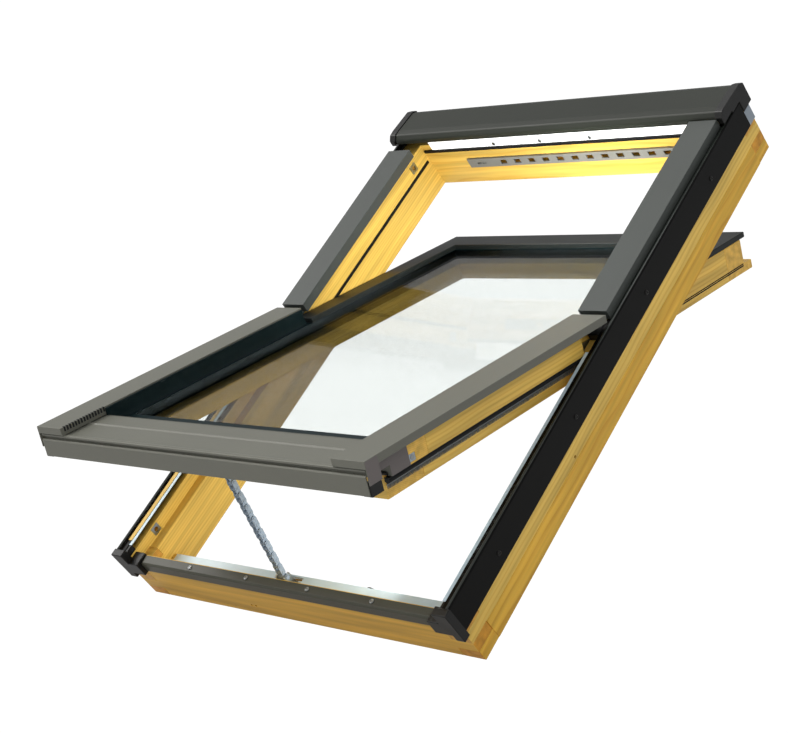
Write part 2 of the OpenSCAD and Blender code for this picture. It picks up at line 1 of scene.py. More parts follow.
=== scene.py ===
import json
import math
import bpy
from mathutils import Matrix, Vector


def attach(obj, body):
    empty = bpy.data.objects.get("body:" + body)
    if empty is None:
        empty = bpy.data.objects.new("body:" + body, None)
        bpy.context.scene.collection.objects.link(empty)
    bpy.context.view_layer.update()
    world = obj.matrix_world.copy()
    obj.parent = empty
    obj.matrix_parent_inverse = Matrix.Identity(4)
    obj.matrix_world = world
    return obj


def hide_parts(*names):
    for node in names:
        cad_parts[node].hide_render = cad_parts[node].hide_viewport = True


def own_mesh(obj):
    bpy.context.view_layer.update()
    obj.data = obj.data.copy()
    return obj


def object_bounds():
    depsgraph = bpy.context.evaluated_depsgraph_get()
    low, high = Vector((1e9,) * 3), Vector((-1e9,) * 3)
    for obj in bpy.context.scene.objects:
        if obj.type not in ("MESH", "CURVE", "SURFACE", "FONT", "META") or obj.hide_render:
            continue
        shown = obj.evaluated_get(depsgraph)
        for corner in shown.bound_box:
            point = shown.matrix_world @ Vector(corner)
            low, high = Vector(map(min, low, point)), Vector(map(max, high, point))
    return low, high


bl_info = {
    "name": "Roof Skylight",
    "version": (1, 0, 0),
    "blender": (4, 5, 0),
    "location": "3D View > Sidebar > Skylight",
    "description": "Dresses the roof skylight: lacquered pine, coated covers, glazing, seals and opener",
    "category": "Object",
}

import bmesh
import bpy
import numpy as np
from mathutils import Matrix, Vector

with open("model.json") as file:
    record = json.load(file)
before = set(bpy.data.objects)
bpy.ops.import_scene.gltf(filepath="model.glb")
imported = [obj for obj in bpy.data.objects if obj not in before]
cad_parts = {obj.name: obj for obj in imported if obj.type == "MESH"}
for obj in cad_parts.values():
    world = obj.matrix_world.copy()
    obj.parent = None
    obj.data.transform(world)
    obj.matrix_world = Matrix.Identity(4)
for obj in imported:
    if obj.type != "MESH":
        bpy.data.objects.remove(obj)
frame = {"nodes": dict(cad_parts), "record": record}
CAD_BOX = [list(corner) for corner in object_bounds()]
RECORD = frame["record"]
SLOTS = {part["node"]: part["material_slot"] for part in RECORD["subparts"]}
BODIES = RECORD["behaviour"]["bodies"]
BODY_OF = {node: body for body, nodes in BODIES.items() for node in nodes}
JOINTS = {joint["name"]: joint for joint in RECORD["behaviour"]["joints"]}

# The window is modelled flat, in millimetres: x across, y up the slope, z out of the roof.
# FLAT sets it at the pitch of the roof, and RAISED also turns the sash about its pivots.
ROOM_FACE = next(m for m in RECORD["mounts"] if m["name"] == "room_face")
PITCH = math.atan2(ROOM_FACE["axis"][1], -ROOM_FACE["axis"][2])
RAIL_MIDDLE = 32.0
CHAIN_PITCH = 12.5
SIDES = (("left", -1), ("right", 1))
FLAT = (
    Matrix.Scale(0.001, 4)
    @ Matrix.Rotation(PITCH, 4, "X")
    @ Matrix.Translation((0, -RAIL_MIDDLE, 0))
)
PIVOT = FLAT.inverted() @ Vector(JOINTS["sash_pivot"]["pos_m"])
OPEN = math.radians(-JOINTS["sash_pivot"]["range_deg"][0])
RAISED = (
    FLAT
    @ Matrix.Translation(PIVOT)
    @ Matrix.Rotation(-OPEN, 4, "X")
    @ Matrix.Translation(-PIVOT)
)


def linear(code):
    """An sRGB hex colour as the linear red, green, blue and alpha that the shaders take."""
    parts = [int(code[i : i + 2], 16) / 255 for i in (1, 3, 5)]
    return tuple(c / 12.92 if c <= 0.04045 else ((c + 0.055) / 1.055) ** 2.4 for c in parts) + (1.0,)


# ---------------------------------------------------------------- sizes and colours


def colour(name, code, words):
    """A colour that can be picked in the panel."""
    return bpy.props.FloatVectorProperty(
        name=name, description=words, default=linear(code), size=4, min=0, max=1, subtype="COLOR"
    )


def millimetres(name, size, low, high, words):
    """A length in millimetres."""
    return bpy.props.FloatProperty(name=name, description=words, default=size, min=low, max=high, unit="NONE")


class SkylightTimber(bpy.types.PropertyGroup):
    """Sizes and colours of the lacquered pine."""

    light: colour("Early wood", "#E6C15E", "Pale wood between the growth rings")
    dark: colour("Late wood", "#C48F30", "Darker wood of the growth rings")
    end: colour("End grain", "#D9A548", "Wood cut across the fibres, which soaks up more lacquer")
    ring: millimetres("Ring spacing (mm)", 2.6, 1, 8, "Distance between two growth rings")
    ease: millimetres("Eased edge (mm)", 1.4, 0.2, 3, "Rounding of the planed edges")


class SkylightCovers(bpy.types.PropertyGroup):
    """Sizes and colours of the metal covers."""

    sash: colour("Sash covers", "#63635A", "Coating of the covers on the sash")
    upper: colour("Upper covers", "#3F4340", "Coating of the covers on the upper half")
    hood: colour("Hood", "#272A24", "Coating of the hood")
    side: colour("Side covers", "#060605", "Coating of the covers along the sides")
    sheet: millimetres("Sheet (mm)", 1.6, 0.8, 3, "Thickness of the covers")


class SkylightDetail(bpy.types.PropertyGroup):
    """Sizes of the small repeating pieces."""

    bristle_gap: millimetres("Bristle spacing (mm)", 1.4, 0.5, 5, "Distance between two bristles of the brush")
    slot_gap: millimetres("Slot spacing (mm)", 6.0, 2, 20, "Distance between the slots of the left sash cover")
    seed: bpy.props.IntProperty(name="Seed", description="Start of every random choice", default=7, min=0)


# ---------------------------------------------------------------- nodes


def add(tree, kind, wires=None, stops=None, **settings):
    """Adds a node. Settings go on it, wires go to its inputs, linked or as values, and stops fill its ramp."""
    node = tree.nodes.new(kind)
    for key, value in settings.items():
        setattr(node, key, value)
    for key, value in (wires or {}).items():
        if isinstance(value, bpy.types.NodeSocket):
            tree.links.new(value, node.inputs[key])
        else:
            node.inputs[key].default_value = value
    if stops:
        while len(node.color_ramp.elements) < len(stops):
            node.color_ramp.elements.new(0.5)
        for element, (at, tone) in zip(node.color_ramp.elements, stops):
            element.position, element.color = at, tone
    return node


def reckoned(t, operation, *values):
    """A sum, product or other reckoning on numbers."""
    return add(t, "ShaderNodeMath", dict(enumerate(values)), operation=operation).outputs[0]


def vectors(t, operation, *values):
    """The same on vectors."""
    return add(t, "ShaderNodeVectorMath", dict(enumerate(values)), operation=operation).outputs[0]


def scaled(t, vector, by):
    """A vector or colour times a number."""
    return add(t, "ShaderNodeVectorMath", {0: vector, "Scale": by}, operation="SCALE").outputs[0]


def ranged(t, value, low, high, start=0.0, stop=1.0):
    """A value from start to stop, spread over low to high."""
    wires = {"Value": value, "From Min": start, "From Max": stop, "To Min": low, "To Max": high}
    return add(t, "ShaderNodeMapRange", wires).outputs[0]


def blend(t, factor, a, b):
    """A mix of two colours."""
    return add(t, "ShaderNodeMix", {"Factor": factor, "A": a, "B": b}, data_type="RGBA").outputs["Result"]


def stretched(t, at, scale, turn=(0, 0, 0)):
    """Coordinates with a scale of their own along each axis."""
    return add(t, "ShaderNodeMapping", {"Vector": at, "Rotation": turn, "Scale": scale}).outputs[0]


def noise(t, at, scale, detail, **more):
    """A noise, with its scale in humps to the metre."""
    return add(t, "ShaderNodeTexNoise", {"Vector": at, "Scale": scale, "Detail": detail, **more}).outputs["Fac"]


def written(t, name, output="Fac"):
    """A value that the mesh carries."""
    return add(t, "ShaderNodeAttribute", attribute_name=name).outputs[output]


def new_material(name):
    """An empty node material and its tree."""
    made = bpy.data.materials.new(name)
    made.use_nodes = True
    made.node_tree.nodes.clear()
    return made, made.node_tree


def in_place(t):
    """The coordinates that patterns are laid by."""
    return add(t, "ShaderNodeTexCoord").outputs["Object"]


def surface(made, t, shader):
    """Sends the shader to the material's output."""
    add(t, "ShaderNodeOutputMaterial", {"Surface": shader})
    return made


def skinned(made, t, tint, roughness, relief, **more):
    """Ends a material in one surface. The relief is its height, its strength and its depth in metres."""
    wires = dict(zip(("Height", "Strength", "Distance"), relief))
    bump = add(t, "ShaderNodeBump", wires).outputs[0]
    wires = {"Base Color": tint, "Roughness": roughness, "Normal": bump}
    wires.update({key.replace("_", " "): value for key, value in more.items()})
    return surface(made, t, add(t, "ShaderNodeBsdfPrincipled", wires).outputs[0])


def grey(v):
    """A neutral linear colour."""
    return (v, v, v, 1.0)


# ---------------------------------------------------------------- materials


def pine(name, cast, cut_shows):
    """Clear lacquered laminated pine. Growth rings run round a pith beside the board, so flat faces
    show long grain and cut ends show arcs. The lacquer adds a soft second gloss over it."""
    timber = bpy.context.scene.skylight_timber
    tone = lambda c: (*(min(1, part * by) for part, by in zip(c, cast)), 1.0)
    made, t = new_material(name)
    lie = written(t, "lie", "Vector")
    # each board is cut from its own place in the trunk, 30 to 150 mm from the pith
    place = add(t, "ShaderNodeTexWhiteNoise", {"W": written(t, "board")}, noise_dimensions="1D").outputs
    pith = vectors(t, "ADD", vectors(t, "MULTIPLY", place["Color"], (0.09, 0.11, 0)), (-0.025, 0.03, 0))
    # the rings wander by up to 5 mm, over 0.4 m along the grain
    slow = {"Vector": stretched(t, lie, (9.0, 9.0, 2.6)), "Scale": 1.0, "Detail": 2.0}
    wander = add(t, "ShaderNodeTexNoise", slow).outputs["Color"]
    shift = vectors(t, "MULTIPLY", vectors(t, "SUBTRACT", wander, (0.5, 0.5, 0.5)), (0.011, 0.011, 0))
    seat = vectors(t, "ADD", vectors(t, "ADD", lie, pith), shift)
    across = vectors(t, "MULTIPLY", seat, (1, 1, 0))
    radius = add(t, "ShaderNodeVectorMath", {0: across}, operation="LENGTH").outputs["Value"]
    phase = reckoned(t, "FRACT", reckoned(t, "DIVIDE", radius, timber.ring * 0.001))
    # the wood darkens slowly to the late wood and pales at once after it
    stops = [(at, grey(v)) for at, v in ((0.0, 0.12), (0.45, 0.0), (0.82, 0.5), (0.93, 0.7), (1.0, 0.15))]
    ring = add(t, "ShaderNodeValToRGB", {"Fac": phase}, stops=stops).outputs["Color"]
    # fibres, drawn 1 mm wide and 60 mm long, coarser than real ones so that they show
    fibre = noise(t, stretched(t, lie, (900.0, 900.0, 16.0)), 1.0, 3.0, Roughness=0.6)
    late = reckoned(t, "MULTIPLY", ring, ranged(t, fibre, 0.45, 1.0))
    wood = blend(t, late, tone(timber.light), tone(timber.dark))
    cut = blend(t, late, tone(timber.end), tone(linear("#BC802C")))
    mixed = blend(t, reckoned(t, "MULTIPLY", written(t, "end_grain"), cut_shows), wood, cut)
    # boards differ a little in tone, and fibres streak them
    shade = reckoned(t, "MULTIPLY", ranged(t, place["Value"], 0.93, 1.03), ranged(t, fibre, 0.94, 1.05))
    # bands of slow and fast growth, drawn some 13 mm wide, coarser than the rings, so that they show from afar
    band = noise(t, stretched(t, lie, (75.0, 75.0, 3.5)), 1.0, 2.0)
    shade = reckoned(t, "MULTIPLY", shade, ranged(t, band, 0.76, 1.16, 0.3, 0.7))
    # the lamella on the room side, below the first seam, is drawn deeper and yellower
    depth = blend(t, written(t, "deep"), grey(1.0), (0.92, 0.8, 0.42, 1.0))
    toned = vectors(t, "MULTIPLY", scaled(t, mixed, shade), depth)
    rest = {"IOR": 1.5, "Specular_IOR_Level": 0.3, "Coat_Weight": 0.06, "Coat_Roughness": 0.22}
    return skinned(made, t, toned, ranged(t, fibre, 0.34, 0.5), (late, 0.22, 0.0003), **rest)


def coated(name, tint, roughness, peel, gloss=0.35, glow=0.0):
    """Sheet metal with a baked matt coating. The coating draws into a fine orange peel, about a
    millimetre from hump to hump, and dulls unevenly."""
    made, t = new_material(name)
    at = in_place(t)
    humps, cloud, specks = noise(t, at, 850.0, 2.0), noise(t, at, 9.0, 3.0), noise(t, at, 2600.0, 1.0)
    shade = reckoned(t, "MULTIPLY", ranged(t, cloud, 0.94, 1.06), ranged(t, specks, 0.95, 1.07, 0.35, 0.7))
    worn = ranged(t, cloud, roughness - 0.06, roughness + 0.07)
    # a glow, where one is given, is painted light
    rest = {"IOR": 1.5, "Specular_IOR_Level": gloss, "Emission_Color": tuple(tint), "Emission_Strength": glow}
    return skinned(made, t, scaled(t, tuple(tint)[:3], shade), worn, (humps, peel, 0.0002), **rest)


def moulded(name, tint, roughness):
    """Injection-moulded plastic with the fine grain of an eroded mould. Its pits are drawn 0.8 mm
    apart, coarser than the real ones, so that they show."""
    made, t = new_material(name)
    at = in_place(t)
    pits = add(t, "ShaderNodeTexVoronoi", {"Vector": at, "Scale": 1250.0}).outputs["Distance"]
    cloud = noise(t, at, 25.0, 3.0)
    shade = scaled(t, tuple(tint)[:3], ranged(t, cloud, 0.85, 1.15))
    worn = ranged(t, cloud, roughness - 0.08, roughness + 0.08)
    return skinned(made, t, shade, worn, (pits, 0.12, 0.0002), IOR=1.49, Specular_IOR_Level=0.35)


def extruded_rubber(name, tint, roughness, gloss=0.5):
    """EPDM sealing strip. Extrusion leaves faint lines, and a dull bloom sits on the surface."""
    made, t = new_material(name)
    at = in_place(t)
    bloom, grit = noise(t, at, 40.0, 4.0), noise(t, at, 1500.0, 1.0)
    dusty = tuple(min(1, c * 1.9 + 0.004) for c in tint[:3]) + (1.0,)
    worn = ranged(t, bloom, roughness - 0.08, roughness + 0.12)
    shade = blend(t, bloom, tuple(tint), dusty)
    return skinned(made, t, shade, worn, (grit, 0.1, 0.0002), IOR=1.5, Specular_IOR_Level=gloss)


def brushed_metal(name, tint, roughness, tilt=0.0):
    """Bare metal, drawn or ground along x, with lines about 0.4 mm apart and 40 mm long."""
    made, t = new_material(name)
    at = in_place(t)
    lines = noise(t, stretched(t, at, (25.0, 2500.0, 2500.0), (tilt, 0, 0)), 1.0, 3.0)
    worn = ranged(t, noise(t, at, 60.0, 3.0), roughness - 0.07, roughness + 0.1)
    shade = scaled(t, tuple(tint)[:3], ranged(t, lines, 0.88, 1.08))
    return skinned(made, t, shade, worn, (lines, 0.12, 0.0001), Metallic=1.0)


def zinc_plated(name, tint, roughness):
    """Zinc-plated steel, bright with cloudy passivation and small pits."""
    made, t = new_material(name)
    at = in_place(t)
    cloud, grain = noise(t, at, 120.0, 4.0), noise(t, at, 1800.0, 2.0)
    worn = ranged(t, cloud, roughness - 0.08, roughness + 0.12)
    shade = scaled(t, tuple(tint)[:3], ranged(t, cloud, 0.8, 1.12))
    return skinned(made, t, shade, worn, (grain, 0.08, 0.0001), Metallic=1.0)


def float_glass(name, tint):
    """Float glass, tinted for two coated panes, with roller waves about 150 mm apart. Shadow rays pass
    through it, less the part that low-emissivity layers hold back. Its IOR is lower than the 1.52 of
    plain glass, as for a pane with an anti-reflective coating."""
    made, t = new_material(name)
    wave = noise(t, in_place(t), 6.5, 1.0)
    bump = add(t, "ShaderNodeBump", {"Height": wave, "Strength": 0.02, "Distance": 0.001})
    wires = {"Base Color": tint, "Roughness": 0.0, "IOR": 1.05, "Transmission Weight": 1.0, "Normal": bump.outputs[0]}
    clear = add(t, "ShaderNodeBsdfPrincipled", wires)
    through = add(t, "ShaderNodeBsdfTransparent", {"Color": linear("#BCC4BA")})
    shadow = add(t, "ShaderNodeLightPath").outputs["Is Shadow Ray"]
    lamp = add(t, "ShaderNodeMixShader", {0: shadow, 1: clear.outputs[0], 2: through.outputs[0]})
    return surface(made, t, lamp.outputs[0])


def seen_white(t):
    """How far something is looked at rather than shedding light, and how bright it has to be to look white.
    Looked at through the panes it is brighter, as their tint takes part of it away."""
    path = add(t, "ShaderNodeLightPath").outputs
    first = reckoned(t, "LESS_THAN", path["Diffuse Depth"], 0.5)
    through = reckoned(t, "MULTIPLY", path["Is Transmission Ray"], first)
    seen = reckoned(t, "MAXIMUM", path["Is Camera Ray"], through)
    return seen, reckoned(t, "MULTIPLY_ADD", through, 2.3, 1.05)


def studio_floor(name, tint):
    """Matt white acrylic floor lit from below. It looks plain white and sheds a soft light upwards."""
    made, t = new_material(name)
    worn = ranged(t, noise(t, in_place(t), 0.7, 3.0), 0.75, 0.85)
    wires = {"Base Color": tint, "Roughness": worn, "Emission Color": grey(1.0), "Emission Strength": 0.25}
    skin = add(t, "ShaderNodeBsdfPrincipled", wires)
    seen, bright = seen_white(t)
    white = add(t, "ShaderNodeEmission", {"Strength": bright})
    mixed = add(t, "ShaderNodeMixShader", {0: seen, 1: skin.outputs[0], 2: white.outputs[0]})
    return surface(made, t, mixed.outputs[0])


def finishes():
    """Makes every material once and returns them by name."""
    covers = bpy.context.scene.skylight_covers
    recipes = {
        "lacquered_pine_frame": (pine, (1.0, 1.0, 1.0), 1.0),
        "lacquered_pine_sash": (pine, (1.03, 1.01, 0.98), 0.3),
        "black_coated_aluminium": (coated, covers.side, 0.34, 0.1, 0.12),
        "grey_coated_aluminium_sash": (coated, covers.sash, 0.42, 0.14),
        "grey_coated_aluminium_upper": (coated, covers.upper, 0.42, 0.14),
        "grey_coated_aluminium_low": (coated, "#424238", 0.4, 0.12, 0.28),
        "dark_coated_aluminium_hood": (coated, covers.hood, 0.45, 0.12, 0.22),
        "dark_coated_aluminium_profile": (coated, "#1C201F", 0.4, 0.1, 0.24),
        "black_screw_steel": (coated, "#161614", 0.4, 0.08, 0.3),
        # pale strip in the shade of the hood, which a little glow of its own keeps white: painted light
        "white_coated_aluminium": (coated, "#F6F8F8", 0.45, 0.08, 0.35, 0.8),
        # lighter black of the ridge bead: a painted sheen
        "satin_black_aluminium": (coated, "#262B26", 0.3, 0.05, 0.5),
        "mauve_grey_coated_aluminium": (coated, "#655F5D", 0.42, 0.12),
        "black_moulded_nylon": (moulded, "#121211", 0.42),
        "grey_moulded_plastic": (moulded, "#7B7B75", 0.48),
        "dark_grey_moulded_plastic": (moulded, "#6E6E68", 0.5),
        # pale blue-white of the edge strips, also a painted highlight along the inner edges
        "pale_extruded_plastic": (moulded, "#C9DDE8", 0.35),
        "epdm_rubber_seal": (extruded_rubber, "#0A0C0C", 0.5, 0.2),
        "epdm_rubber_glazing": (extruded_rubber, "#041315", 0.42, 0.12),
        "grey_brush_fibre": (extruded_rubber, "#6A6D6C", 0.7),
        "mill_finish_aluminium": (brushed_metal, "#A9B3BC", 0.36, PITCH),
        "anodised_aluminium": (brushed_metal, "#C4C8CA", 0.3),
        "dark_anodised_spacer": (brushed_metal, "#4A5154", 0.4),
        "zinc_plated_steel": (zinc_plated, "#A9B4BC", 0.32),
        "bright_chain_steel": (coated, "#8593A0", 0.5, 0.1, 0.5),
        "plated_screw_steel": (zinc_plated, "#9EA1A1", 0.34),
        "satin_painted_motor": (coated, "#4A4F53", 0.35, 0.08),
        "clear_float_glass": (float_glass, "#BEC0BF"),
        # black of the slots on the left sash cover: painted shade
        "slot_shadow": (moulded, "#101213", 0.8),
        "white_acrylic_floor": (studio_floor, grey(0.3)),
    }
    return {
        name: bpy.data.materials.get(name) or make(name, linear(tint) if isinstance(tint, str) else tint, *rest)
        for name, (make, tint, *rest) in recipes.items()
    }


# ---------------------------------------------------------------- mesh tools


def standing(body):
    """The matrix that sets a flat shape where this body stands."""
    return RAISED if body in ("sash", "bolt_left", "bolt_right") else FLAT


def cad_copy(node):
    """A merged copy of a node's mesh, laid flat in millimetres, with its flat faces whole again."""
    bm = bmesh.new()
    bm.from_mesh(frame["nodes"][node].data)
    bmesh.ops.transform(bm, matrix=standing(BODY_OF[node]).inverted(), verts=bm.verts)
    bmesh.ops.remove_doubles(bm, verts=bm.verts, dist=0.004)
    bmesh.ops.dissolve_limit(bm, angle_limit=math.radians(0.6), verts=bm.verts, edges=bm.edges)
    return bm


def flat_box(node):
    """Lowest and highest corner of a node laid flat, in millimetres."""
    lay = standing(BODY_OF[node]).inverted()
    points = np.array([lay @ v.co for v in frame["nodes"][node].data.vertices])
    return Vector(points.min(0)), Vector(points.max(0))


def islands(node):
    """The separate solids of a node, each as an array of its points, laid flat in millimetres."""
    bm = cad_copy(node)
    left, found = set(bm.verts), []
    while left:
        start = left.pop()
        group, edge = [start], [start]
        while edge:
            for e in edge.pop().link_edges:
                for v in e.verts:
                    if v in left:
                        left.discard(v)
                        group.append(v)
                        edge.append(v)
        found.append(np.array([v.co[:] for v in group]))
    bm.free()
    return found


def linked(name, data):
    """A new object of this data, linked to the scene."""
    thing = bpy.data.objects.new(name, data)
    bpy.context.collection.objects.link(thing)
    return thing


def to_mesh(bm, name):
    """A bmesh as a mesh, freed."""
    mesh = bpy.data.meshes.new(name)
    bm.to_mesh(mesh)
    bm.free()
    return mesh


def plain_mesh(thing):
    """The result of an object's modifiers as a plain mesh. The object goes."""
    made = bpy.data.meshes.new_from_object(thing.evaluated_get(bpy.context.evaluated_depsgraph_get()))
    bpy.data.objects.remove(thing)
    return made


def weigh_edges(mesh, width, sharpest):
    """Gives each hard edge a bevel weight, less where its neighbours are short, so no rounding runs into another."""
    room_share = 0.42  # of the way to the next edge
    bm = bmesh.new()
    bm.from_mesh(mesh)
    layer = bm.edges.layers.float.get("bevel_weight_edge") or bm.edges.layers.float.new("bevel_weight_edge")
    for e in bm.edges:
        if len(e.link_faces) != 2 or e.calc_face_angle(0) < sharpest:
            continue
        run = (e.verts[1].co - e.verts[0].co).normalized()
        room = width
        for f in e.link_faces:
            for v in f.verts:
                away = v.co - e.verts[0].co
                off = (away - run * away.dot(run)).length
                if off > 0.05:
                    room = min(room, off * room_share)
        for v in e.verts:
            for other in v.link_edges:
                if other is not e and abs((other.verts[1].co - other.verts[0].co).normalized().dot(run)) < 0.9:
                    room = min(room, other.calc_length() * room_share)
        e[layer] = max(0.0, room / width)
    bm.to_mesh(mesh)
    bm.free()


def ease(mesh, width, segments):
    """The mesh with its hard edges rounded and its flat faces shaded flat."""
    weigh_edges(mesh, width, sharpest=0.5)
    for p in mesh.polygons:
        p.use_smooth = True
    thing = linked("easing", mesh)
    bevel = thing.modifiers.new("Ease", "BEVEL")
    bevel.width, bevel.segments = width, segments
    bevel.limit_method, bevel.use_clamp_overlap = "WEIGHT", False
    normals = thing.modifiers.new("Normals", "WEIGHTED_NORMAL")
    normals.weight, normals.keep_sharp = 80, False
    return plain_mesh(thing)


def lay_grain(mesh, along, seed, seams=()):
    """Writes where each point lies in its board, which board that is, which faces cut the grain,
    and which lie in the deep-toned lamella below the first seam, on the room side."""
    room_side = 50
    order = {"x": (1, 2, 0), "y": (0, 2, 1)}[along]
    co = np.empty(len(mesh.vertices) * 3, np.float32)
    mesh.vertices.foreach_get("co", co)
    co = co.reshape(-1, 3)[:, order] * 0.001
    lie = mesh.attributes.new("lie", "FLOAT_VECTOR", "POINT")
    lie.data.foreach_set("vector", co.ravel().astype(np.float32))
    deep = bool(seams) and seams[0] < room_side
    for name, value in (
        ("board", lambda p: seed + 17.3 * sum(p.center[2] > s for s in seams)),
        ("end_grain", lambda p: float(abs(p.normal["xy".index(along)]) > 0.8)),
        ("deep", lambda p: float(deep and p.center[2] < seams[0])),
    ):
        mesh.attributes.new(name, "FLOAT", "FACE").data.foreach_set("value", [value(p) for p in mesh.polygons])


def piece(name, mesh, material, body, nodes=(), slot=None, round_by=0.0, segments=2, grain=None):
    """Finishes a flat shape, sets it in the window, gives it its material and its body, and hides the
    nodes it stands for."""
    if isinstance(mesh, bmesh.types.BMesh):
        mesh = to_mesh(mesh, name)
    if round_by:
        mesh = ease(mesh, round_by, segments)
    if grain:
        lay_grain(mesh, *grain)
    mesh.name = name
    mesh.transform(standing(body))
    thing = linked(name, mesh)
    mesh.materials.clear()
    mesh.materials.append(material)
    if nodes:
        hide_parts(*nodes)
    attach(thing, body)
    slot or SLOTS[nodes[0]]
    return thing


def eased_node(node, material, width, segments=2, grain=None):
    """A node's own shape with eased edges, in its place."""
    return piece(
        node + "_body", cad_copy(node), material, BODY_OF[node], (node,), round_by=width, segments=segments, grain=grain
    )


def bent(path, radius, steps):
    """A folded line: each corner of the path becomes an arc of this radius, or of a point's third number."""
    points = [Vector(p[:2]) for p in path]
    out = [points[0]]
    for i in range(1, len(points) - 1):
        a, b, c = points[i - 1], points[i], points[i + 1]
        r = path[i][2] if len(path[i]) > 2 else radius
        u, v = (a - b), (c - b)
        turn = math.pi - u.angle(v)
        if turn < 0.02:
            out.append(b)
            continue
        reach = min(r * math.tan(turn / 2), u.length * 0.49, v.length * 0.49)
        r = reach / math.tan(turn / 2)
        p, q = b + u.normalized() * reach, b + v.normalized() * reach
        middle = b + (u.normalized() + v.normalized()).normalized() * (r / math.cos(turn / 2))
        start, sweep = (p - middle), (p - middle).angle_signed(q - middle)
        for k in range(steps + 1):
            arm = start.copy()
            arm.rotate(Matrix.Rotation(-sweep * k / steps, 2))
            out.append(middle + arm)
    out.append(points[-1])
    return out


def thickened(line, sheet):
    """A line's other side, one sheet away to its left."""
    out = []
    for i, p in enumerate(line):
        a = (p - line[i - 1]).normalized() if i else (line[1] - p).normalized()
        b = (line[i + 1] - p).normalized() if i < len(line) - 1 else a
        n = Vector((-(a + b).y, (a + b).x)).normalized()
        out.append(p + n * (sheet / max(0.3, n.dot(Vector((-a.y, a.x))))))
    return out


def outward(bm):
    """Turns every face outwards."""
    bmesh.ops.recalc_face_normals(bm, faces=bm.faces)


def drawn(bm, profile, stop, along):
    """The points of a profile, drawn out to this place along x or y."""
    return [bm.verts.new((stop, p[0], p[1]) if along == "x" else (p[0], stop, p[1])) for p in profile]


def fold_sheet(bm, path, radius, sheet, start, stop, steps):
    """Adds a folded sheet: the path is its outer line, seen from one end, and it runs along x."""
    outer = bent(path, radius, steps)
    inner = thickened(outer, sheet)
    (a, b), (c, d) = ([drawn(bm, line, x, "x") for line in (outer, inner)] for x in (start, stop))
    last = len(outer) - 1
    for i in range(last):
        bm.faces.new((a[i], a[i + 1], c[i + 1], c[i]))
        bm.faces.new((b[i + 1], b[i], d[i], d[i + 1]))
        bm.faces.new((a[i + 1], a[i], b[i], b[i + 1]))
        bm.faces.new((c[i], c[i + 1], d[i + 1], d[i]))
    for k in (0, last):
        bm.faces.new((a[k], c[k], d[k], b[k]))


def block(bm, x0, x1, y0, y1, z0, z1):
    """Adds a plain block between these planes."""
    size = Vector((x1 - x0, y1 - y0, z1 - z0))
    middle = Vector((x0 + x1, y0 + y1, z0 + z1)) / 2
    for v in bmesh.ops.create_cube(bm, size=1.0)["verts"]:
        v.co = v.co * size + middle
    outward(bm)


def round_profile(middle, width, height, steps=16, start=0, stop=360):
    """Points on an oval about a middle, given its half width and half height."""
    count = steps if stop - start == 360 else steps + 1
    turns = [math.radians(start + (stop - start) * k / steps) for k in range(count)]
    return [(middle[0] + width * math.cos(a), middle[1] + height * math.sin(a)) for a in turns]


def prism(bm, near, far):
    """Closes two matching outlines into a solid."""
    made = [bm.faces.new(near), bm.faces.new(list(reversed(far)))]
    count = len(near)
    for k in range(count):
        made.append(bm.faces.new((near[(k + 1) % count], near[k], far[k], far[(k + 1) % count])))
    bmesh.ops.recalc_face_normals(bm, faces=made)


def extruded(bm, profile, start, stop, along):
    """Adds a closed profile drawn out between two places along x or y."""
    prism(bm, drawn(bm, profile, start, along), drawn(bm, profile, stop, along))


def lathe(bm, profile, height, sides=24):
    """Adds a shape turned about a line along x at this height. The profile gives radius and place along x."""
    turn = Vector((0, 0, 1)).rotation_difference(Vector((1, 0, 0))).to_matrix()
    spots = lambda r: [(0, 0)] if r < 1e-6 else round_profile((0, 0), r, r, sides)
    rings = [[bm.verts.new(Vector((0, 0, height)) + turn @ Vector((*p, h))) for p in spots(r)] for r, h in profile]
    for lower, upper in zip(rings, rings[1:]):
        for k in range(sides):
            quad = [ring[j % len(ring)] for ring, j in ((lower, k), (lower, k + 1), (upper, k + 1), (upper, k))]
            corners = list(dict.fromkeys(quad))
            if len(corners) > 2:
                bm.faces.new(corners)
    for ring in (rings[0][::-1], rings[-1]):
        if len(ring) > 1:
            bm.faces.new(ring)


def link_plate(bm, x, z, pitch, radius=4.0):
    """Adds one chain plate with round ends and a waist, standing across x and running up from z."""
    thick, waist = 1.9, radius * 0.92
    low = [(y, z - (h - z)) for y, h in round_profile((0, z), radius, radius, 6, 0, 180)]
    high = [(-y, h) for y, h in round_profile((0, z + pitch), radius, radius, 6, 0, 180)]
    outline = [*low, (-waist, z + pitch / 2), *high, (waist, z + pitch / 2)]
    prism(bm, *([bm.verts.new((x + side * thick / 2, y, h)) for y, h in outline] for side in (-1, 1)))


# ---------------------------------------------------------------- growing rows and sets of pieces


def growing_tree(name, sockets, spread):
    """A tree that takes a shape and these values, and repeats the shape as spread says."""
    if name in bpy.data.node_groups:
        return bpy.data.node_groups[name]
    t = bpy.data.node_groups.new(name, "GeometryNodeTree")
    t.is_modifier = True
    for label, kind in (("Geometry", "Geometry"), *sockets, ("Seed", "Int")):
        t.interface.new_socket(label, in_out="INPUT", socket_type="NodeSocket" + kind)
    t.interface.new_socket("Geometry", in_out="OUTPUT", socket_type="NodeSocketGeometry")
    given = add(t, "NodeGroupInput").outputs
    many = add(t, "GeometryNodeInstanceOnPoints", {"Instance": given["Geometry"], **spread(t, given)})
    real = add(t, "GeometryNodeRealizeInstances", {"Geometry": many.outputs[0]})
    add(t, "NodeGroupOutput", {"Geometry": real.outputs[0]})
    return t


def at_random(t, least, most, seed):
    """A random vector between two others."""
    wires = {"Min": least, "Max": most, "Seed": seed}
    return add(t, "FunctionNodeRandomValue", wires, data_type="FLOAT_VECTOR").outputs[0]


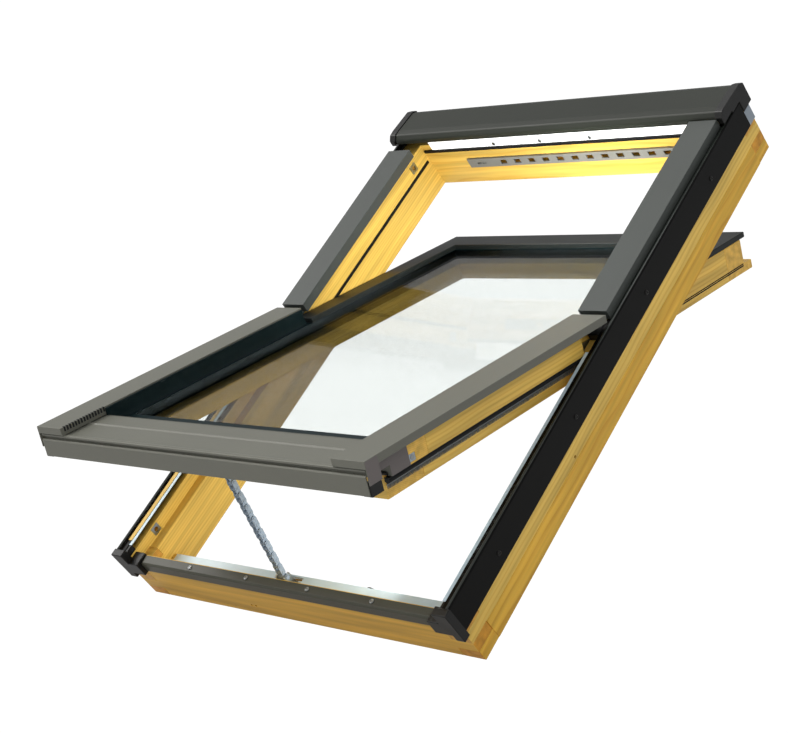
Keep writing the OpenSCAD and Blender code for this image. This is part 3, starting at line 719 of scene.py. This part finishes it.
def row_tree():
    """A tree that repeats the shape it is given along a line, each turned a little at random."""

    def spread(t, given):
        wires = {"Count": given["Count"], "Start Location": given["Start"], "Offset": given["Step"]}
        line = add(t, "GeometryNodeMeshLine", wires, mode="OFFSET")
        most = add(t, "ShaderNodeCombineXYZ", {"X": given["Lean"], "Y": given["Lean"]}).outputs[0]
        lean = at_random(t, vectors(t, "MULTIPLY", most, (-1, -1, -1)), most, given["Seed"])
        return {"Points": line.outputs["Mesh"], "Rotation": lean}

    sockets = (("Count", "Int"), ("Start", "Vector"), ("Step", "Vector"), ("Lean", "Float"))
    return growing_tree("Row of pieces", sockets, spread)


def place_tree():
    """A tree that sets the shape it is given on each place of another object, along that place's axis."""

    def spread(t, given):
        spots = add(t, "GeometryNodeObjectInfo", {"Object": given["Places"]})
        axis = add(t, "GeometryNodeInputNamedAttribute", {"Name": "axis"}, data_type="FLOAT_VECTOR")
        scale = add(t, "GeometryNodeInputNamedAttribute", {"Name": "size"}, data_type="FLOAT")
        spin = at_random(t, (0, 0, 0), (0, 0, 6.283), given["Seed"])
        aim = add(t, "FunctionNodeAlignRotationToVector", {"Vector": axis.outputs["Attribute"]}, axis="Z")
        wires = {"Rotation": aim.outputs[0], "Rotate By": spin}
        turned = add(t, "FunctionNodeRotateRotation", wires, rotation_space="LOCAL").outputs[0]
        return {"Points": spots.outputs["Geometry"], "Rotation": turned, "Scale": scale.outputs["Attribute"]}

    return growing_tree("Pieces on places", (("Places", "Object"),), spread)


def grow(name, bm, tree, **values):
    """Runs a tree on a shape and returns the plain mesh that it makes."""
    thing = linked(name, to_mesh(bm, name))
    for p in thing.data.polygons:
        p.use_smooth = False
    modifier = thing.modifiers.new("Grow", "NODES")
    modifier.node_group = tree
    for item in tree.interface.items_tree:
        if item.item_type == "SOCKET" and item.in_out == "INPUT" and item.name in values:
            modifier[item.identifier] = values[item.name]
    thing.update_tag()
    return plain_mesh(thing)


def row(name, bm, count, start, step, lean=0.0, seed=0):
    """A shape repeated along a line, as a plain mesh."""
    return grow(name, bm, row_tree(), Count=count, Start=tuple(start), Step=tuple(step), Lean=lean, Seed=seed)


def places(points, axes, sizes):
    """An object whose points carry an axis and a size, for the tree that sets pieces on places."""
    mesh = bpy.data.meshes.new("places")
    mesh.from_pydata([tuple(p) for p in points], [], [])
    axis = mesh.attributes.new("axis", "FLOAT_VECTOR", "POINT")
    axis.data.foreach_set("vector", np.array(axes, np.float32).ravel())
    size = mesh.attributes.new("size", "FLOAT", "POINT")
    size.data.foreach_set("value", np.array(sizes, np.float32))
    return linked("places", mesh)


def join(meshes):
    """Several flat meshes as one bmesh."""
    bm = bmesh.new()
    for m in meshes:
        bm.from_mesh(m)
    return bm


def screw_head():
    """One pan head of 8 mm with a six-lobed recess, its underside at zero, pointing up."""
    bm = bmesh.new()
    sides, lobes = 24, 6
    rings = []
    # radius, height and depth of the lobes, from the underside to the floor of the recess
    for r, h, star in (
        (3.9, 0.0, 0), (4.0, 0.8, 0), (3.7, 1.35, 0), (3.0, 1.75, 0), (2.2, 1.9, 0), (1.7, 1.9, 0.3), (1.55, 0.9, 0.27)
    ):
        turns = [2 * math.pi * k / sides for k in range(sides)]
        reach = [r + star * math.cos(lobes * a) for a in turns]
        rings.append([bm.verts.new((s * math.cos(a), s * math.sin(a), h)) for s, a in zip(reach, turns)])
    for lower, upper in zip(rings, rings[1:]):
        for k in range(sides):
            bm.faces.new((lower[k], lower[(k + 1) % sides], upper[(k + 1) % sides], upper[k]))
    bm.faces.new(rings[-1])
    bm.faces.new(rings[0][::-1])
    return bm


def screw_places(node):
    """Where the heads of a node's screws sit, which way they point, and how wide they are against 8 mm."""
    found = []
    shortest_shank = 9
    for points in islands(node):
        low, high = points.min(0), points.max(0)
        size, middle = high - low, (low + high) / 2
        long = size.max() > shortest_shank
        along = int(np.argmax(size)) if long else int(np.argmin(size))
        others = [k for k in range(3) if k != along]
        away = np.hypot(*(points[:, others] - middle[others]).T)
        head = points[away > away.max() * 0.8][:, along]
        up = bool(long and head.mean() > middle[along])
        spot, axis = middle.copy(), np.zeros(3)
        spot[along] = head.min() if up else head.max()
        axis[along] = 1 if up else -1
        found.append((spot, axis, away.max() / 4.0))
    return found


# ---------------------------------------------------------------- operators


class Maker:
    """What the operators share: each eases the nodes in its list and then makes what is its own."""

    bl_options = {"REGISTER", "UNDO"}
    eased = ()

    @property
    def finish(self):
        return finishes()

    def execute(self, context):
        self.ease(*self.eased)
        self.shape(context.scene)
        return {"FINISHED"}

    def ease(self, *rows):
        """Eases the edges of each of these nodes: its name, finish, width of rounding and segments."""
        for node, finish, width, segments in rows:
            eased_node(node, self.finish[finish], width, segments)

    def shape(self, scene):
        """Nothing more, unless an operator has its own."""


def timber(wood, members, first, step, seam, width):
    """The four members of a frame, each a board of its own on both sides of the seam between lamellas."""
    for seed, member in enumerate(members):
        along = "x" if "rail" in member else "y"
        eased_node(member, wood, width, grain=(along, first + seed * step, (seam,)))


class SKYLIGHT_OT_frame_timber(Maker, bpy.types.Operator):
    """Four laminated pine members of the frame, finger-jointed at the corners"""

    bl_idname = "skylight.frame_timber"
    bl_label = "Frame timber"

    def shape(self, scene):
        wood = self.finish["lacquered_pine_frame"]
        members = ("frame_stile_left", "frame_stile_right", "frame_rail_bottom", "frame_rail_top")
        timber(wood, members, 0, 3.7, 40.0, scene.skylight_timber.ease)
        # thin timber lip laid over the inner edge of the left cover, on its lower half
        low, high = flat_box("side_cover_left")
        strip = flat_box("edge_strips")[0]
        lip = bmesh.new()
        block(lip, low.x + 10.5, strip.x + 0.1, 30, high.y * 0.46, high.z - 4.4, high.z - 3.7)
        piece("frame_stile_lip", lip, wood, "frame", slot="timber_frame", grain=("y", 31.0))


class SKYLIGHT_OT_sash_timber(Maker, bpy.types.Operator):
    """Four laminated pine members of the sash, with the flange of its lower half"""

    bl_idname = "skylight.sash_timber"
    bl_label = "Sash timber"

    def shape(self, scene):
        members = ("sash_stile_left", "sash_stile_right", "sash_rail_bottom", "sash_rail_top")
        timber(self.finish["lacquered_pine_sash"], members, 20, 2.9, 78.5, scene.skylight_timber.ease)


class SKYLIGHT_OT_frame_covers(Maker, bpy.types.Operator):
    """Black side covers with their ridge, and the grey covers of the upper half"""

    bl_idname = "skylight.frame_covers"
    bl_label = "Frame covers"

    def shape(self, scene):
        for side, sign in SIDES:
            eased_node(f"side_cover_{side}", self.finish["black_coated_aluminium"], 0.7, 3)
            # rounded bead along the ridge, its black lighter than the cover's: a painted sheen on the ridge
            low, high = flat_box(f"side_cover_{side}")
            edge = high.x - 5 if sign > 0 else low.x + 5
            bead = bmesh.new()
            profile = round_profile((edge, high.z - 1.9), 3.1, 2.9, 20)
            extruded(bead, profile, low.y + 0.5, high.y - 0.5, "y")
            for f in bead.faces:
                f.smooth = len(f.verts) == 4
            piece(f"side_bead_{side}", bead, self.finish["satin_black_aluminium"], "frame", slot="cover_black")
            # the left upper cover stops short of the hood and leaves the timber bare
            node, short, end_part = f"upper_cover_{side}", 26, 40
            cover, top = cad_copy(node), flat_box(node)[1].y
            for v in cover.verts:
                if sign < 0 and v.co.y > top - end_part:
                    v.co.y -= short
            coat = self.finish["grey_coated_aluminium_upper"]
            piece(node + "_body", cover, coat, "frame", (node,), round_by=0.7, segments=3)


class SKYLIGHT_OT_hood(Maker, bpy.types.Operator):
    """Hood over the top rail with its caps, side flashings and white apron strip"""

    bl_idname = "skylight.hood"
    bl_label = "Hood"

    def shape(self, scene):
        low, high = flat_box("hood")
        top, front, back = high.z, low.y, high.y
        bm = bmesh.new()
        path = (
            (flat_box("frame_rail_top")[0].y - 1.6, top - 18),
            (front, top - 18, 1.2),
            (front, top - 8, 7),
            (front + 9, top - 0.6, 8),
            (front + 22, top, 6),
            (back - 12, top - 3, 6),
            (back, top - 9, 8),
            (back, low.z),
        )
        fold_sheet(bm, path, 4, -scene.skylight_covers.sheet, low.x, high.x, 6)
        outward(bm)
        piece("hood_shell", bm, self.finish["dark_coated_aluminium_hood"], "frame", ("hood",), round_by=0.5)
        self.ease(
            ("hood_cap_left", "black_moulded_nylon", 1.4, 3),
            ("hood_cap_right", "black_moulded_nylon", 1.4, 3),
            ("flashings", "mill_finish_aluminium", 0.6, 2),
            # the apron strip glows a little of its own: painted light
            ("apron_strip", "white_coated_aluminium", 0.5, 2),
        )


class SKYLIGHT_OT_bottom_cover(Maker, bpy.types.Operator):
    """Cover over the bottom rail, black corner blocks and pale edge strips"""

    bl_idname = "skylight.bottom_cover"
    bl_label = "Bottom cover"
    eased = (
        ("bottom_cover", "grey_coated_aluminium_low", 0.7, 3),
        ("corner_block_left", "black_moulded_nylon", 1.6, 3),
        ("corner_block_right", "black_moulded_nylon", 1.6, 3),
    )

    def shape(self, scene):
        # the side strips are trimmed by a millimetre, clear of the plates on the closed sash, and run lower
        strip_height, inner_face, trim, lower_end = 100, 364, 1.0, 21
        strips = cad_copy("edge_strips")
        for v in strips.verts:
            if v.co.z > strip_height and abs(v.co.x) < inner_face:
                v.co.x += math.copysign(trim, v.co.x)
            if v.co.z > strip_height and v.co.y < 40:
                v.co.y = lower_end
        # the strips' pale blue-white also paints the bright line of the inner edges: a painted highlight
        coat = self.finish["pale_extruded_plastic"]
        piece("edge_strips_body", strips, coat, "frame", ("edge_strips",), round_by=0.3)


class SKYLIGHT_OT_seals(Maker, bpy.types.Operator):
    """Rubber seals of the frame and the sash, and the brush strip below the sash flange"""

    bl_idname = "skylight.seals"
    bl_label = "Seals"
    eased = (("top_seal", "epdm_rubber_seal", 1.2, 3), ("upper_seals", "epdm_rubber_seal", 1.2, 3))

    def shape(self, scene):
        # a round bulb on a flat foot under each flange and an oval one along the front, drawn relaxed
        outer = flat_box("sash_stile_right")[1].x - 0.8
        bulb, front = bmesh.new(), bmesh.new()
        for points in islands("sash_seal"):
            low, high = points.min(0), points.max(0)
            if high[1] - low[1] > high[0] - low[0]:
                side, hung = (1 if high[0] > 0 else -1), high[2]
                foot = ((outer - 11, hung - 1.6), (outer, hung - 1.6), (outer, hung), (outer - 11, hung))
                for profile in (round_profile((outer - 5.5, hung - 4.6), 5.5, 4.4), foot):
                    extruded(bulb, [(side * x, z) for x, z in profile], low[1] - 8, high[1], "y")
            else:
                middle = (low + high) / 2
                extruded(front, round_profile(middle[1:], 1.4, 3), low[0], high[0], "x")
        rubber = self.finish["epdm_rubber_seal"]
        piece("sash_front_seal", front, rubber, "sash", slot="rubber")
        thing = piece("sash_bulb_seal", bulb, rubber, "sash", ("sash_seal",))
        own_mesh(thing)
        # brushes of three rows of bristles in a backing strip
        gap, backing, meshes = scene.skylight_detail.bristle_gap, 1.6, []
        for points in islands("sash_brush"):
            low, high = points.min(0), points.max(0)
            back, hair = bmesh.new(), bmesh.new()
            block(back, low[0] + 0.2, high[0] - 0.2, low[1], high[1], high[2] - backing, high[2])
            length = high[2] - low[2] - backing
            for k, off in enumerate((-0.5, 0.0, 0.5)):
                made = bmesh.ops.create_cone(hair, cap_ends=True, segments=3, radius1=0.16, radius2=0.3, depth=length)
                for v in made["verts"]:
                    v.co += Vector((off, 0.45 * k, -length / 2))
            start = ((low[0] + high[0]) / 2, low[1] + 1, high[2] - 1.5)
            count = int((high[1] - low[1] - 2) / gap)
            bristles = row("bristles", hair, count, start, (0.0, gap, 0.0), 0.09, scene.skylight_detail.seed)
            meshes += [to_mesh(back, "backing"), bristles]
        piece("sash_brush_strip", join(meshes), self.finish["grey_brush_fibre"], "sash", ("sash_brush",))


class SKYLIGHT_OT_air_inlet(Maker, bpy.types.Operator):
    """Slotted face of the air inlet, and its sliding shutter"""

    bl_idname = "skylight.air_inlet"
    bl_label = "Air inlet"
    eased = (("inlet_face", "grey_moulded_plastic", 0.6, 2), ("inlet_shutter", "dark_grey_moulded_plastic", 0.5, 2))


class SKYLIGHT_OT_pivots(Maker, bpy.types.Operator):
    """Pivot plates with their pins, and the caps over them"""

    bl_idname = "skylight.pivots"
    bl_label = "Pivots"
    eased = (
        ("hinge_frame_left", "zinc_plated_steel", 0.8, 2),
        ("hinge_sash_left", "zinc_plated_steel", 0.8, 2),
        ("hinge_frame_right", "zinc_plated_steel", 0.8, 2),
        ("hinge_sash_right", "zinc_plated_steel", 0.8, 2),
        ("hinge_caps", "black_moulded_nylon", 1.6, 3),
    )


class SKYLIGHT_OT_locks(Maker, bpy.types.Operator):
    """Keepers in the stiles, locking bolts and their guides"""

    bl_idname = "skylight.locks"
    bl_label = "Locks"
    eased = (
        ("keepers", "zinc_plated_steel", 0.5, 2),
        ("bolt_left", "plated_screw_steel", 0.8, 3),
        ("bolt_right", "plated_screw_steel", 0.8, 3),
        ("bolt_guides", "zinc_plated_steel", 0.8, 2),
    )


class SKYLIGHT_OT_opener(Maker, bpy.types.Operator):
    """Chain opener in the bottom rail: housing, lid, motor, gearbox, sprocket, plate and cable gland"""

    bl_idname = "skylight.opener"
    bl_label = "Opener"
    eased = (
        ("opener_housing", "anodised_aluminium", 0.8, 2),
        ("opener_lid", "anodised_aluminium", 0.6, 2),
        ("opener_motor", "satin_painted_motor", 1.2, 2),
        ("opener_gearbox", "black_moulded_nylon", 1.5, 2),
        ("opener_sprocket", "zinc_plated_steel", 0.5, 2),
        ("opener_plate", "anodised_aluminium", 0.5, 2),
        ("cable_gland", "black_moulded_nylon", 0.8, 2),
    )


class SKYLIGHT_OT_chain(Maker, bpy.types.Operator):
    """Push chain of riveted links, and the bracket under the sash"""

    bl_idname = "skylight.chain"
    bl_label = "Chain"

    def shape(self, scene):
        exit_at = FLAT.inverted() @ Vector(JOINTS["chain_swing"]["pos_m"])
        low, high = flat_box("chain_bracket")
        pin = FLAT.inverted() @ RAISED @ Vector((0, (low.y + high.y) / 2, low.z + 5))
        pin.x = exit_at.x
        way, stroke = (pin - exit_at).normalized(), (pin - exit_at).length
        stand = Matrix.Translation(exit_at) @ Matrix.Rotation(-math.atan2(way.y, way.z), 4, "X")
        first, ends_length = 10.0, 20
        count = int((stroke - ends_length) / CHAIN_PITCH)
        # one wide and one narrow link, each with its rivet and the roller on it
        pair, ends = bmesh.new(), bmesh.new()
        for k, half in ((0, 5.6), (1, 3.7)):
            for side in (-1, 1):
                link_plate(pair, side * half, k * CHAIN_PITCH, CHAIN_PITCH, 4.8)
            rivet = ((0, -7.2), (2.3, -7.2), (2.7, -6.7), (2.7, 6.7), (2.3, 7.2), (0, 7.2))
            lathe(pair, rivet, k * CHAIN_PITCH, 12)
            lathe(pair, ((4.2, -2.7), (4.2, 2.7)), k * CHAIN_PITCH, 14)
        # the turning pin at the exit, the eye at the sash, and the plates next to them
        top = first + count * CHAIN_PITCH
        lathe(ends, ((0, -11.8), (3.6, -11.8), (4.0, -11.4), (4.0, 11.4), (3.6, 11.8), (0, 11.8)), 0)
        for side in (-1, 1):
            link_plate(ends, side * 4.5, 0, first)
            link_plate(ends, side * 3.0, top, stroke - top, 5.0)
        lathe(ends, ((3.1, -7.6), (5.2, -7.6), (5.5, -7.2), (5.5, 7.2), (5.2, 7.6), (3.1, 7.6), (3.1, -7.6)), stroke)
        for bm in (pair, ends):
            bmesh.ops.transform(bm, matrix=stand, verts=bm.verts)
        outward(ends)
        seed = scene.skylight_detail.seed
        links = row("links", pair, count // 2, way * first, way * CHAIN_PITCH * 2, seed=seed)
        chain = join((links, to_mesh(ends, "ends")))
        thing = piece("push_chain", chain, self.finish["bright_chain_steel"], "chain", ("chain",))
        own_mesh(thing)
        self.ease(("chain_bracket", "zinc_plated_steel", 0.6, 2))


class SKYLIGHT_OT_glazing(Maker, bpy.types.Operator):
    """Two panes, the spacer between them and the glazing gaskets"""

    bl_idname = "skylight.glazing"
    bl_label = "Glazing"
    eased = (
        ("pane_outer", "clear_float_glass", 0.5, 2),
        ("pane_inner", "clear_float_glass", 0.5, 2),
        ("pane_spacer", "dark_anodised_spacer", 0.5, 2),
        ("gasket_outer", "epdm_rubber_glazing", 0.5, 2),
        ("gasket_inner", "epdm_rubber_seal", 0.5, 2),
    )


class SKYLIGHT_OT_sash_covers(Maker, bpy.types.Operator):
    """Covers of the sash: sides, stepped bottom, end caps and the dark profile of the upper half"""

    bl_idname = "skylight.sash_covers"
    bl_label = "Sash covers"
    eased = (
        ("sash_cover_left", "grey_coated_aluminium_sash", 1.1, 3),
        ("sash_cover_right", "grey_coated_aluminium_sash", 1.1, 3),
    )

    def shape(self, scene):
        glass = flat_box("gasket_outer")[1].z
        plates, lips, lines = bmesh.new(), bmesh.new(), bmesh.new()
        rail = flat_box("sash_rail_top")[1]
        for side, sign in SIDES:
            low, high = flat_box(f"sash_cover_{side}")
            leg = high.x if sign < 0 else low.x
            # thin plates that close the end of the cover: x, then y from and to, then z from
            for x, y0, y1, z0 in ((363.4, 26.6, 66.4, 85.2), (363.4, -10.5, 26.6, 102.5), (383.9, -36.6, -11.1, 100.4)):
                block(plates, sign * x, sign * (x + 0.4), y0, y1, z0, high.z - 1.2)
            # wedge gasket standing on the glass against the inner leg
            wedge = ((8.5, 0.2), (0.4, 0.2), (0.4, 28.0), (1.4, 28.6), (2.6, 27.0), (3.0, 12.0))
            extruded(lips, [(leg - sign * u, glass + z) for u, z in wedge], 58.0, high.y - 2.0, "y")
            # two lips of the seal let into the outer side of the upper half
            for z0, z1 in ((57.5, 59.5), (61.0, 62.6)):
                block(lines, sign * (rail.x - 0.3), sign * (rail.x + 0.7), 600, rail.y - 28, z0, z1)
        glazing = self.finish["epdm_rubber_glazing"]
        piece("sash_end_plates", plates, self.finish["mauve_grey_coated_aluminium"], "sash", slot="cover_grey")
        piece("sash_wedge_gaskets", lips, glazing, "sash", slot="rubber", round_by=0.5)
        # short slots punched along the inner edge of the left cover, which drain it, drawn as black boxes on the cover:
        # their black is painted shade
        low, high = flat_box("sash_cover_left")
        slot, proud = bmesh.new(), 0.06
        block(slot, high.x - 4.6, high.x + proud, -1.7, 1.7, high.z - 8, high.z + proud)
        slots = row("slots", slot, 15, (0.0, low.y + 9, 0.0), (0.0, scene.skylight_detail.slot_gap, 0.0))
        piece("sash_cover_slots", slots, self.finish["slot_shadow"], "sash", slot="cover_grey")
        # the stepped front of the bottom cover with its groove, the top with a ridge, and the slope to the glass
        low, high = flat_box("sash_cover_bottom")
        front, top, back = low.y, high.z - 0.9, 59.0
        face = top - 1.2
        step = (
            (front, low.z),
            (front, top - 10.6),
            (front + 1.5, top - 8.6, 0.8),
            (front + 6.5, top - 8.6, 0.6),
            (front + 6.5, top - 3.8, 0.6),
            (front + 2.0, top - 3.4, 0.6),
            (front + 2.2, top - 0.3, 1.0),
            (front + 6.5, top + 0.9, 1.5),
            (front + 11, face, 2),
            (front + 25.6, face),
        )
        flat = ((front + 25.6, face), (18, face, 2), (22, top + 0.9, 1.5), (26, face, 2), (back, face, 3))
        slope = ((back - 2, face), (back, face, 2), (back + 22, glass))
        cover = bmesh.new()
        for path, half in ((step, high.x), (flat, 361.5), (slope, 317.8)):
            fold_sheet(cover, path, 1, -scene.skylight_covers.sheet, -half, half, 5)
        outward(cover)
        coat = self.finish["grey_coated_aluminium_sash"]
        piece("sash_bottom_shell", cover, coat, "sash", ("sash_cover_bottom",))
        self.ease(("sash_end_caps", "black_moulded_nylon", 1.2, 3))
        piece("sash_upper_side_seal", lines, self.finish["epdm_rubber_seal"], "sash", slot="rubber")
        self.ease(("sash_profile_upper", "dark_coated_aluminium_profile", 1.6, 3))


class SKYLIGHT_OT_screws(Maker, bpy.types.Operator):
    """Pan-head screws of the covers and of the chain bracket"""

    bl_idname = "skylight.screws"
    bl_label = "Screws"

    def shape(self, scene):
        for node in ("frame_screws", "sash_screws"):
            found = screw_places(node)
            for words, in_flank, finish in (
                ("heads", False, "plated_screw_steel"),
                ("flank_heads", True, "black_screw_steel"),
            ):
                chosen = [f for f in found if (abs(f[1][0]) > 0.5) == in_flank]
                if not chosen:
                    continue
                spots = places(*zip(*chosen))
                mesh = grow(node, screw_head(), place_tree(), Places=spots, Seed=scene.skylight_detail.seed)
                bpy.data.objects.remove(spots)
                nodes = () if in_flank else (node,)
                piece(f"{node}_{words}", mesh, self.finish[finish], BODY_OF[node], nodes, slot=SLOTS[node])


class SKYLIGHT_OT_stage(Maker, bpy.types.Operator):
    """Pale floor, soft studio light and the camera"""

    bl_idname = "skylight.stage"
    bl_label = "Stage"

    def shape(self, scene):
        scene.view_settings.view_transform = "Standard"
        bm = bmesh.new()
        bmesh.ops.create_circle(bm, cap_ends=True, radius=60.0, segments=96)
        floor = linked("studio_floor", to_mesh(bm, "studio_floor"))
        floor.data.transform(Matrix.Translation((0, 0, CAD_BOX[0][2] - 0.001)))
        floor.data.materials.append(self.finish["white_acrylic_floor"])
        facing = lambda way: Vector(way).to_track_quat("-Z", "Y")
        # three broad, distant soft lights: the direction they shine, strength, angle across and tint
        for name, way, strength, across, tone in (
            ("key_light", (0.62, 0.5, -0.72), 2.5, 35, (1.0, 0.985, 0.96)),
            ("fill_light", (-0.75, 0.6, -0.2), 0.85, 60, (0.98, 0.99, 1.0)),
            ("top_light", (0.1, -0.25, -1.0), 0.8, 50, (1, 1, 1)),
        ):
            light = bpy.data.lights.new(name, "SUN")
            light.energy, light.angle, light.color = strength, math.radians(across), tone
            linked(name, light).rotation_euler = facing(way).to_euler()
        # small soft lamps inside the two openings, out of sight, brighten the bare timber there
        for name, at, way, power in (
            ("upper_lamp", (120, 700, 95), (-0.6, 0.8, -0.12), 3.2),
            ("lower_lamp", (200, 260, 70), (-1.0, -0.1, -0.05), 1.6),
        ):
            light = bpy.data.lights.new(name, "AREA")
            light.shape, light.size, light.size_y = "RECTANGLE", 0.3, 0.05
            light.energy, light.color = power, (1.0, 0.98, 0.96)
            lamp = linked(name, light)
            aim = Matrix.Rotation(PITCH, 4, "X") @ facing(way).to_matrix().to_4x4()
            lamp.matrix_world = Matrix.Translation(FLAT @ Vector(at)) @ aim
            lamp.visible_camera = lamp.visible_glossy = lamp.visible_transmission = False
        world = bpy.data.worlds.new("studio")
        world.use_nodes = True
        scene.world = world
        t = world.node_tree
        t.nodes.clear()
        soft = add(t, "ShaderNodeBackground", {"Color": (0.97, 0.98, 1.0, 1), "Strength": 0.45})
        seen, bright = seen_white(t)
        white = add(t, "ShaderNodeBackground", {"Color": (1, 1, 1, 1), "Strength": bright})
        mixed = add(t, "ShaderNodeMixShader", {0: seen, 1: soft.outputs[0], 2: white.outputs[0]})
        add(t, "ShaderNodeOutputWorld", {"Surface": mixed.outputs[0]})
        # a long lens at chest height, off the lower right corner of the window
        lens = bpy.data.cameras.new("camera")
        lens.lens, lens.sensor_width, lens.sensor_fit = 78.757, 36.0, "HORIZONTAL"
        lens.clip_start, lens.clip_end = 0.05, 200
        right = Vector((0.72204, 0.69172, -0.01347)).normalized()
        ahead = Vector((-0.69074, 0.71964, -0.07072)).normalized()
        turn = Matrix((right, right.cross(ahead).normalized(), -ahead)).transposed().to_4x4()
        camera = linked("camera", lens)
        camera.matrix_world = Matrix.Translation((2.0246, -1.9141, 0.5909)) @ turn
        scene.camera = camera


class SKYLIGHT_PT_panel(bpy.types.Panel):
    """Sizes, colours and pieces of the skylight"""

    bl_idname = "SKYLIGHT_PT_panel"
    bl_label = "Roof Skylight"
    bl_space_type = "VIEW_3D"
    bl_region_type = "UI"
    bl_category = "Skylight"

    def draw(self, context):
        for name, _ in GROUPS:
            group = getattr(context.scene, name)
            box = self.layout.box()
            for key in group.__annotations__:
                box.prop(group, key)
        for maker in MAKERS:
            self.layout.operator(maker.bl_idname)


GROUPS = (
    ("skylight_timber", SkylightTimber),
    ("skylight_covers", SkylightCovers),
    ("skylight_detail", SkylightDetail),
)
MAKERS = (
    SKYLIGHT_OT_stage,
    SKYLIGHT_OT_frame_timber,
    SKYLIGHT_OT_sash_timber,
    SKYLIGHT_OT_frame_covers,
    SKYLIGHT_OT_hood,
    SKYLIGHT_OT_bottom_cover,
    SKYLIGHT_OT_seals,
    SKYLIGHT_OT_air_inlet,
    SKYLIGHT_OT_pivots,
    SKYLIGHT_OT_locks,
    SKYLIGHT_OT_opener,
    SKYLIGHT_OT_chain,
    SKYLIGHT_OT_glazing,
    SKYLIGHT_OT_sash_covers,
    SKYLIGHT_OT_screws,
)


def register():
    """Registers the classes and hangs the sizes on the scene."""
    for name, group in GROUPS:
        bpy.utils.register_class(group)
        setattr(bpy.types.Scene, name, bpy.props.PointerProperty(type=group))
    for maker in MAKERS:
        bpy.utils.register_class(maker)
    bpy.utils.register_class(SKYLIGHT_PT_panel)


def unregister():
    """Takes the classes and the sizes away again."""
    bpy.utils.unregister_class(SKYLIGHT_PT_panel)
    for maker in reversed(MAKERS):
        bpy.utils.unregister_class(maker)
    for name, group in reversed(GROUPS):
        delattr(bpy.types.Scene, name)
        bpy.utils.unregister_class(group)


def main():
    register()
    for maker in MAKERS:
        family, call = maker.bl_idname.split(".")
        getattr(getattr(bpy.ops, family), call)()


if __name__ == "__main__":
    main()
